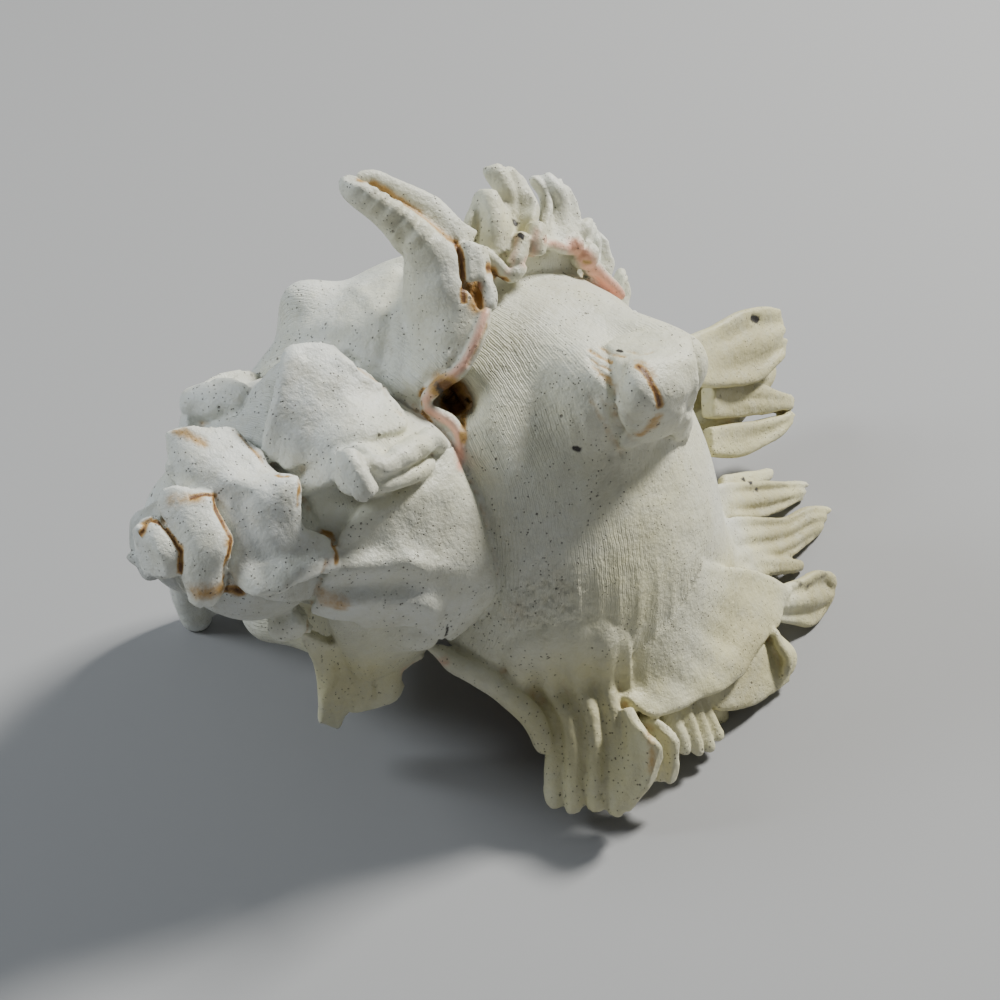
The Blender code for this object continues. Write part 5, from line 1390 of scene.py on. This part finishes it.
def sutureAway(points, reach):
    # 1 on the suture and 0 a few times the reach from it. The suture is a cone spiral, so at
    # a point's own angle each turn passes at a known distance along and from the axis.
    angle = np.degrees(np.arctan2(points[:, 2], points[:, 1])) - coil["lipAngle"]
    rho = np.hypot(points[:, 1], points[:, 2])
    near = np.full(len(points), 1e9)
    for turn in range(-4, 1):
        g = growth(angle % 360.0 + 360.0 * (turn - 1))
        away = np.hypot(points[:, 0] - g * coil["outline"][0][1], rho - g * coil["outline"][0][0])
        near = np.minimum(near, away / np.clip(g * 1.6, 0.35, 1.0))
    return np.exp(-((near / reach) ** 2))


def weathered(points, normals, t, s, frond, inside):
    # Relief along the normals: cords along the growth, pleats near the lip, wrinkles where
    # the two cross, strokes, and the unevenness of a worn shell. Dents are pushed in last.
    g = np.clip(growth(t), 0.2, 1.0)
    whorl = (1.0 - inside) * (frond < 0.001)
    perDegree, perWhorl = lines["lane"]
    lane = np.stack([t * perDegree, s * perWhorl, t * 0], axis=1)
    warp = noise(lane, 1.0, 3)
    middle, swing, size, seed = lines["patchy"]
    patchy = np.clip(middle + swing * noise(lane, size, seed), 0.0, 1.0)

    def waves(count, wander):
        return np.cos(2 * np.pi * (s * count + wander * warp))

    begin, end = lines["pleatSpan"]
    near = smoothStep(*lines["pleatFrom"], t) * smoothStep(*begin, s) * (1.0 - smoothStep(*end, s)) * whorl
    narrow, letIn = lines["pleatShape"]
    height = lines["pleat"] * near * ((0.5 + 0.5 * waves(*lines["pleats"])) ** narrow - letIn)
    fine = waves(*lines["fines"])
    body = smoothStep(*lines["fineFrom"], t) * whorl
    height += lines["fine"] * body * fine * patchy * (1.0 - 0.5 * near)
    knob = np.exp(-((awayFrom(points, placed(lines["foldAt"])) / lines["reach"]) ** 2))
    height += lines["fold"] * knob * waves(*lines["folds"]) * whorl
    for high, size, seed in lines["worn"]:
        height += high * noise(points, size, seed) * g
    height -= lines["suture"] * sutureAway(points, lines["sutureReach"]) * whorl * np.clip(2.0 * g, 0.4, 1.0)
    for tint, share, width, depth, path in strokes:
        height -= depth * strokeShare(points, path, width)
    patch = np.exp(-((awayFrom(points, lines["patchAt"]) / lines["reach"]) ** 4)) * whorl
    high, across, degrees = lines["patch"]
    cross = np.cos(2 * np.pi * (s * across + warp)) * np.cos(2 * np.pi * (t / degrees + 2.0 * warp))
    lump, size, seed = lines["patchGrain"]
    height += patch * (high * cross + lump * noise(points, size, seed))
    moved = points + normals * height[:, None]
    for middle, way, depth, reach in dents:
        near = np.exp(-((awayFrom(points, middle) / reach) ** 4)) * whorl
        lump, size, seed = lines["dentGrain"]
        push = near * (depth + lump * noise(points, size, seed))
        moved = moved + push[:, None] * np.array(way)[None, :]
    return moved


def spreader(mesh):
    # A function that gives each point of the mesh the mean of its neighbours' values.
    edges = np.empty(len(mesh.edges) * 2, np.int64)
    mesh.edges.foreach_get("vertices", edges)
    a, b = edges.reshape(-1, 2).T
    size = len(mesh.vertices)
    count = np.maximum(np.bincount(a, minlength=size) + np.bincount(b, minlength=size), 1)
    return lambda values: (np.bincount(a, values[b], size) + np.bincount(b, values[a], size)) / count


def crisped(points, normals, spread):
    # Each point moves away from the mean of its surroundings, so worn edges show again.
    smooth = points.copy()
    for ring in range(fuse["crispRings"]):
        for axis in range(3):
            smooth[:, axis] = spread(smooth[:, axis])
    away = ((points - smooth) * normals).sum(axis=1)
    most = fuse["crispMost"]
    return points + normals * (most * np.tanh(fuse["crisp"] * away / most))[:, None]


points, normals, marks = read(shell.data)
points = crisped(points, normals, spreader(shell.data))
shell.data.vertices.foreach_set("co", weathered(points, normals, *marks).ravel())
shell.data.update()
print("weathered:", len(strokes), "strokes")

points, normals, marks = read(shell.data)
turnedAway = ((eye - points) * normals).sum(axis=1) < 0.0
thinning = shell.vertex_groups.new(name="thinning")
thinning.add(np.nonzero(turnedAway)[0].tolist(), 1.0, "REPLACE")
thinning.add(np.nonzero(~turnedAway)[0].tolist(), fuse["seenWeight"], "REPLACE")
thin = shell.modifiers.new("thin", "DECIMATE")
thin.ratio = min(1.0, fuse["triangles"] / (2.0 * len(shell.data.polygons)))
thin.vertex_group = "thinning"
thin.vertex_group_factor = fuse["hiddenCost"]
mesh = finished(shell)
shell.modifiers.clear()
shell.data = mesh
print("thinned:", len(mesh.polygons), "faces")

# Wide clouds of colour, each with place, reach in mm and strength.
stains = {
    "brown": (((69, -20, 43), 11, 0.10), ((66, -25, 36), 5, 0.14), ((60, -8, 38), 7, 0.10)),
    "cream": (
        ((85, -55, 42), 38, 0.95), ((126, -48, 47), 26, 1.3), ((164, -43, 45), 14, 1.7),
        ((173, -29, 34), 22, 1.7), ((179, 9, 20), 30, 1.6), ((109, -53, 45), 16, 1.2),
        ((75, -39, -16), 20, 1.1), ((73, 5, 55), 16, 0.45), ((95, 5, 60), 55, 0.5),
        ((86, -26, 51), 26, 0.75), ((77, 50, 34), 16, 0.6), ((55, 52, 28), 14, 0.6),
        ((50, -36, 0), 22, 0.9), ((75, 48, 36), 18, 0.45), ((58, 50, 27), 16, 0.35),
        ((44, 9, 32), 9, 0.5), ((20, 16, 0), 6, 0.6), ((36, -20, 3), 6, 0.5),
    ),
}
# Brown in the creases, partly dirt and partly painted shade, and the brown and pink inside the aperture.
hollowTints = {
    "deep": (0.02, 0.16),  # mm below its neighbours between which a point turns brown, as dirt and painted shade together
    "passes": (4, 0.6),  # how many times that depth is spread, and the neighbours' share
    "brown": 0.27,  # most brown in the hollows, dirt and painted shade together
    "insideBrown": 0.30,  # and inside the aperture
    "insidePink": 0.5,
    "pinkFrom": (-200.0, -20.0),  # growth angles between which the aperture turns pink
}


def tinted(name, points):
    # Share of a tint at each point: the strongest of its clouds and strokes.
    amount = np.zeros(len(points))
    for spot, reach, strength in stains.get(name, ()):
        amount = np.maximum(amount, strength * np.exp(-((awayFrom(points, spot) / reach) ** 2)))
    for tint, share, width, depth, path in strokes:
        if tint == name:
            amount = np.maximum(amount, share * strokeShare(points, path, width))
    return amount


def hollows(points, normals, spread):
    # How far each point lies below the mean of its neighbours, spread over a few rings.
    mean = np.stack([spread(points[:, k]) for k in range(3)], axis=1)
    deep = ((mean - points) * normals).sum(axis=1)
    times, share = hollowTints["passes"]
    for k in range(times):
        deep = (1.0 - share) * deep + share * spread(deep)
    return deep


points, normals, (t, s, frond, inside) = read(mesh)
pink, brown, cream, soot = [tinted(name, points) for name in ("pink", "brown", "cream", "soot")]
# The creases turn brown by how far each point lies in a hollow: partly dirt, partly painted shade.
darkened = smoothStep(*hollowTints["deep"], hollows(points, normals, spreader(mesh)))
brown = np.maximum(np.maximum(brown, hollowTints["insideBrown"] * inside), hollowTints["brown"] * darkened)
pink = np.maximum(pink, hollowTints["insidePink"] * inside * smoothStep(*hollowTints["pinkFrom"], t))
tint = mesh.color_attributes.new("tint", "FLOAT_COLOR", "POINT")
tint.data.foreach_set("color", np.stack([pink, brown, cream, soot], axis=1).astype(np.float32).ravel())
low, high = np.array(cadBox[0]), np.array(cadBox[1])
mesh.vertices.foreach_set("co", np.clip(toFrame(points), low, high).ravel())
mesh.update()
mesh.polygons.foreach_set("use_smooth", np.ones(len(mesh.polygons), bool))
print("tinted:", len(points), "points, share of them in dirty hollows", round(float(darkened.mean()), 3))

chalk = {
    "white": (0.75, 0.77, 0.73),
    "cream": (0.66, 0.62, 0.37),
    "olive": (0.44, 0.40, 0.22),
    "dull": (0.54, 0.52, 0.40),
    "pink": (0.76, 0.40, 0.28),
    "ochre": (0.50, 0.30, 0.10),
    "brown": (0.16, 0.07, 0.02),
    "soot": (0.04, 0.035, 0.03),
    "pore": (0.12, 0.10, 0.08),
    # noises: cells to the metre, octaves and roughness
    "clouds": (34.0, 3.0, 0.55),
    "patches": (110.0, 4.0, 0.6),
    "flecks": (170.0, 6.0, 0.72),
    "chalky": (420.0, 4.0, 0.6),
    "ragged": (520.0, 3.0, 0.6),
    "fine": (1300.0, 4.0, 0.65),
    "wander": (90.0, 4.0, 0.55),
    "bare": (45.0, 3.0, 0.55),
    # the share at which one colour starts to turn to the next, and at which it has
    "toCloud": (0.38, 0.72),
    "toOlive": (0.85, 1.7),
    "toDull": (0.42, 0.72),
    "toPink": (0.12, 0.85),
    "toOchre": (0.08, 0.62),
    "toBrown": (0.5, 1.0),
    "toSoot": (0.25, 0.6),
    "toBare": (0.36, 0.62),  # where the fine cords stand out
    # how much each takes part
    "cloudShare": 0.3,
    "dullShare": 0.55,
    "poreShare": 0.75,
    "raggedShare": (0.6, -0.3),
    "raggedCream": 0.6,
    "raggedPink": 0.5,
    "raggedBrown": (0.02, 0.25),  # brown between which its edge becomes ragged
    "raggedSoot": (0.05, 0.3),
    "brownGain": 1.3,
    "pores": ((560.0, 0.10, 0.42), (250.0, 0.075, 0.50), (900.0, 0.13, 0.43)),  # cells, size, rareness
    "poreEdges": (0.7, 1.2, 0.06),  # of the size, from and to, and of the rareness
    "cords": ((120.0, 0.07), (250.0, 0.06)),  # fine cords across a whorl and how high they stand
    "wanders": 30.0,  # how far they leave their line, radians
    "rough": (0.35, 0.30),  # what the patches add to the roughness, and the least of it
    "grain": 0.0004,  # height of the fine grain, m
    "grainPatches": 1.3,
    "grainFine": 0.4,
}


def chalkShell():
    # White chalk under clouds of cream and olive, with the tints of the mesh over it and pores
    # through it. Its bump is patches, grain and fine cords, less the pores.
    material = bpy.data.materials.new("chalkShell")
    material.use_nodes = True
    nodes, links = material.node_tree.nodes, material.node_tree.links
    shader = nodes["Principled BSDF"]
    place = nodes.new("ShaderNodeTexCoord").outputs["Object"]

    def put(socket, value):
        if isinstance(value, bpy.types.NodeSocket):
            links.new(value, socket)
        elif isinstance(value, tuple):
            socket.default_value = (*value, 1.0)
        else:
            socket.default_value = value

    def made(kind, out, values, **options):
        node = nodes.new("ShaderNode" + kind)
        for name, option in options.items():
            setattr(node, name, option)
        for key, value in values:
            put(node.inputs[key], value)
        return node.outputs[out]

    def maths(operation, *values, clamp=False):
        return made("Math", 0, enumerate(values), operation=operation, use_clamp=clamp)

    def blend(share, a, b):
        return made("Mix", 2, ((0, share), (6, a), (7, b)), data_type="RGBA")

    def step(value, low, high):
        return made("MapRange", 0, ((0, value), (1, low), (2, high)), interpolation_type="SMOOTHSTEP")

    def noiseOf(name):
        scale, detail, rough = chalk[name]
        values = (("Scale", scale), ("Detail", detail), ("Roughness", rough), ("Vector", place))
        return made("TexNoise", 0, values)

    def marksOf(name):
        marked = nodes.new("ShaderNodeAttribute")
        marked.attribute_name = name
        split = nodes.new("ShaderNodeSeparateColor")
        put(split.inputs[0], marked.outputs["Color"])
        return (*split.outputs, marked.outputs["Alpha"])

    pink, brown, cream, soot = marksOf("tint")
    across, frond = marksOf("coil")[1:3]
    patches = noiseOf("patches")
    ragged = maths("MULTIPLY_ADD", noiseOf("ragged"), *chalk["raggedShare"])

    creamShare = maths("MULTIPLY_ADD", step(noiseOf("clouds"), *chalk["toCloud"]), chalk["cloudShare"], cream)
    creamShare = maths("MULTIPLY_ADD", ragged, chalk["raggedCream"], creamShare)
    colour = blend(maths("MULTIPLY", creamShare, 1.0, clamp=True), chalk["white"], chalk["cream"])
    colour = blend(step(creamShare, *chalk["toOlive"]), colour, chalk["olive"])
    dull = maths("MULTIPLY", step(noiseOf("flecks"), *chalk["toDull"]), chalk["dullShare"])
    colour = blend(dull, colour, chalk["dull"])
    pinkShare = maths("MULTIPLY_ADD", ragged, chalk["raggedPink"], pink, clamp=True)
    colour = blend(step(pinkShare, *chalk["toPink"]), colour, chalk["pink"])
    edge = maths("MULTIPLY", ragged, step(brown, *chalk["raggedBrown"]))
    brownShare = maths("MULTIPLY_ADD", brown, chalk["brownGain"], edge, clamp=True)
    colour = blend(step(brownShare, *chalk["toOchre"]), colour, chalk["ochre"])
    colour = blend(step(brownShare, *chalk["toBrown"]), colour, chalk["brown"])
    edge = maths("MULTIPLY", ragged, step(soot, *chalk["raggedSoot"]))
    sootShare = maths("ADD", soot, edge, clamp=True)
    colour = blend(step(sootShare, *chalk["toSoot"]), colour, chalk["soot"])

    wander = maths("MULTIPLY", noiseOf("wander"), chalk["wanders"])
    cords = 0.0
    for count, high in chalk["cords"]:
        turns = maths("MULTIPLY_ADD", across, 2.0 * math.pi * count, wander)
        cords = maths("ADD", cords, maths("MULTIPLY", maths("SINE", turns), high))
    cords = maths("MULTIPLY", cords, step(noiseOf("bare"), *chalk["toBare"]))
    whorl = maths("SUBTRACT", 1.0, step(frond, 0.0, 0.01))
    cords = maths("MULTIPLY", cords, whorl)

    pits = 0.0
    inner, outer, rarer = chalk["poreEdges"]
    for scale, size, rare in chalk["pores"]:
        cells = made("TexVoronoi", "Distance", (("Scale", scale), ("Vector", place)))
        pit = maths("SUBTRACT", 1.0, step(cells, size * inner, size * outer))
        pit = maths("MULTIPLY", pit, step(patches, rare, rare + rarer))
        pits = maths("MAXIMUM", pits, pit)
    colour = blend(maths("MULTIPLY", pits, chalk["poreShare"]), colour, chalk["pore"])

    fine = maths("MULTIPLY", noiseOf("fine"), chalk["grainFine"])
    height = maths("MULTIPLY_ADD", patches, chalk["grainPatches"], fine)
    height = maths("ADD", height, maths("ADD", noiseOf("chalky"), cords))
    height = maths("SUBTRACT", height, pits)
    values = (("Strength", 1.0), ("Distance", chalk["grain"]), ("Height", height))
    put(shader.inputs["Base Color"], colour)
    put(shader.inputs["Roughness"], maths("MULTIPLY_ADD", patches, *chalk["rough"]))
    put(shader.inputs["Normal"], made("Bump", 0, values))
    return material


shell.data.materials.clear()
shell.data.materials.append(chalkShell())
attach(shell, "root")
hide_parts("shell")
print("finished:", shell.name)

room = {
    "floor": (0.33, 0.33, 0.335),
    "floorRough": 0.85,
    "floorReach": 3.0,  # m
    "sky": (0.75, 0.79, 0.85),
    "skyStrength": 0.19,
    # lights: place as the camera sees it from the shell (right, up and towards the camera, in
    # metres), size, power and colour
    "lights": (
        ("key", (0.72, 1.0, 0.16), 0.2, 27.0, (1.0, 0.99, 0.94)),
        ("fill", (-0.85, 0.55, 0.50), 0.35, 6.5, (0.88, 0.95, 1.0)),
    ),
}


def addCamera():
    # The camera stands at the eye, turned so that it sees the shell's axes as the view says.
    axes = np.array([view["axis"], view["up"], view["side"]])
    matrix = np.eye(4)
    matrix[:3, :3] = standing(axes.T).T
    matrix[:3, 3] = toFrame(eye[None])[0]
    camera = bpy.data.cameras.new("camera")
    camera.lens = view["lens"]
    camera.sensor_width = view["sensor"]
    camera.clip_start = view["nearest"]
    obj = bpy.data.objects.new("camera", camera)
    obj.matrix_world = Matrix(matrix.tolist())
    bpy.context.scene.collection.objects.link(obj)
    bpy.context.scene.camera = obj
    return obj


def addFloor():
    # A level square of ground at height 0.
    size = room["floorReach"]
    mesh = bpy.data.meshes.new("floor")
    corners = [(-size, -size, 0), (size, -size, 0), (size, size, 0), (-size, size, 0)]
    mesh.from_pydata(corners, [], [(0, 1, 2, 3)])
    material = bpy.data.materials.new("paleFloor")
    material.use_nodes = True
    shader = material.node_tree.nodes["Principled BSDF"]
    shader.inputs["Base Color"].default_value = (*room["floor"], 1.0)
    shader.inputs["Roughness"].default_value = room["floorRough"]
    mesh.materials.append(material)
    obj = bpy.data.objects.new("floor", mesh)
    bpy.context.scene.collection.objects.link(obj)
    return obj


def addLight(name, place, size, power, colour):
    # A square lamp that looks at the shell from its place in the camera's axes.
    light = bpy.data.lights.new(name, "AREA")
    light.size = size
    light.energy = power
    light.color = colour
    obj = bpy.data.objects.new(name, light)
    at = camera.matrix_world.to_3x3() @ Vector(place)
    obj.location = at
    obj.rotation_euler = at.to_track_quat("Z", "Y").to_euler()
    bpy.context.scene.collection.objects.link(obj)
    return obj


camera = addCamera()
floor = addFloor()
for lamp in room["lights"]:
    addLight(*lamp)

world = bpy.data.worlds.new("room")
world.use_nodes = True
background = world.node_tree.nodes["Background"]
background.inputs["Color"].default_value = (*room["sky"], 1.0)
background.inputs["Strength"].default_value = room["skyStrength"]
bpy.context.scene.world = world
print("set up: camera, floor and", len(room["lights"]), "lights")
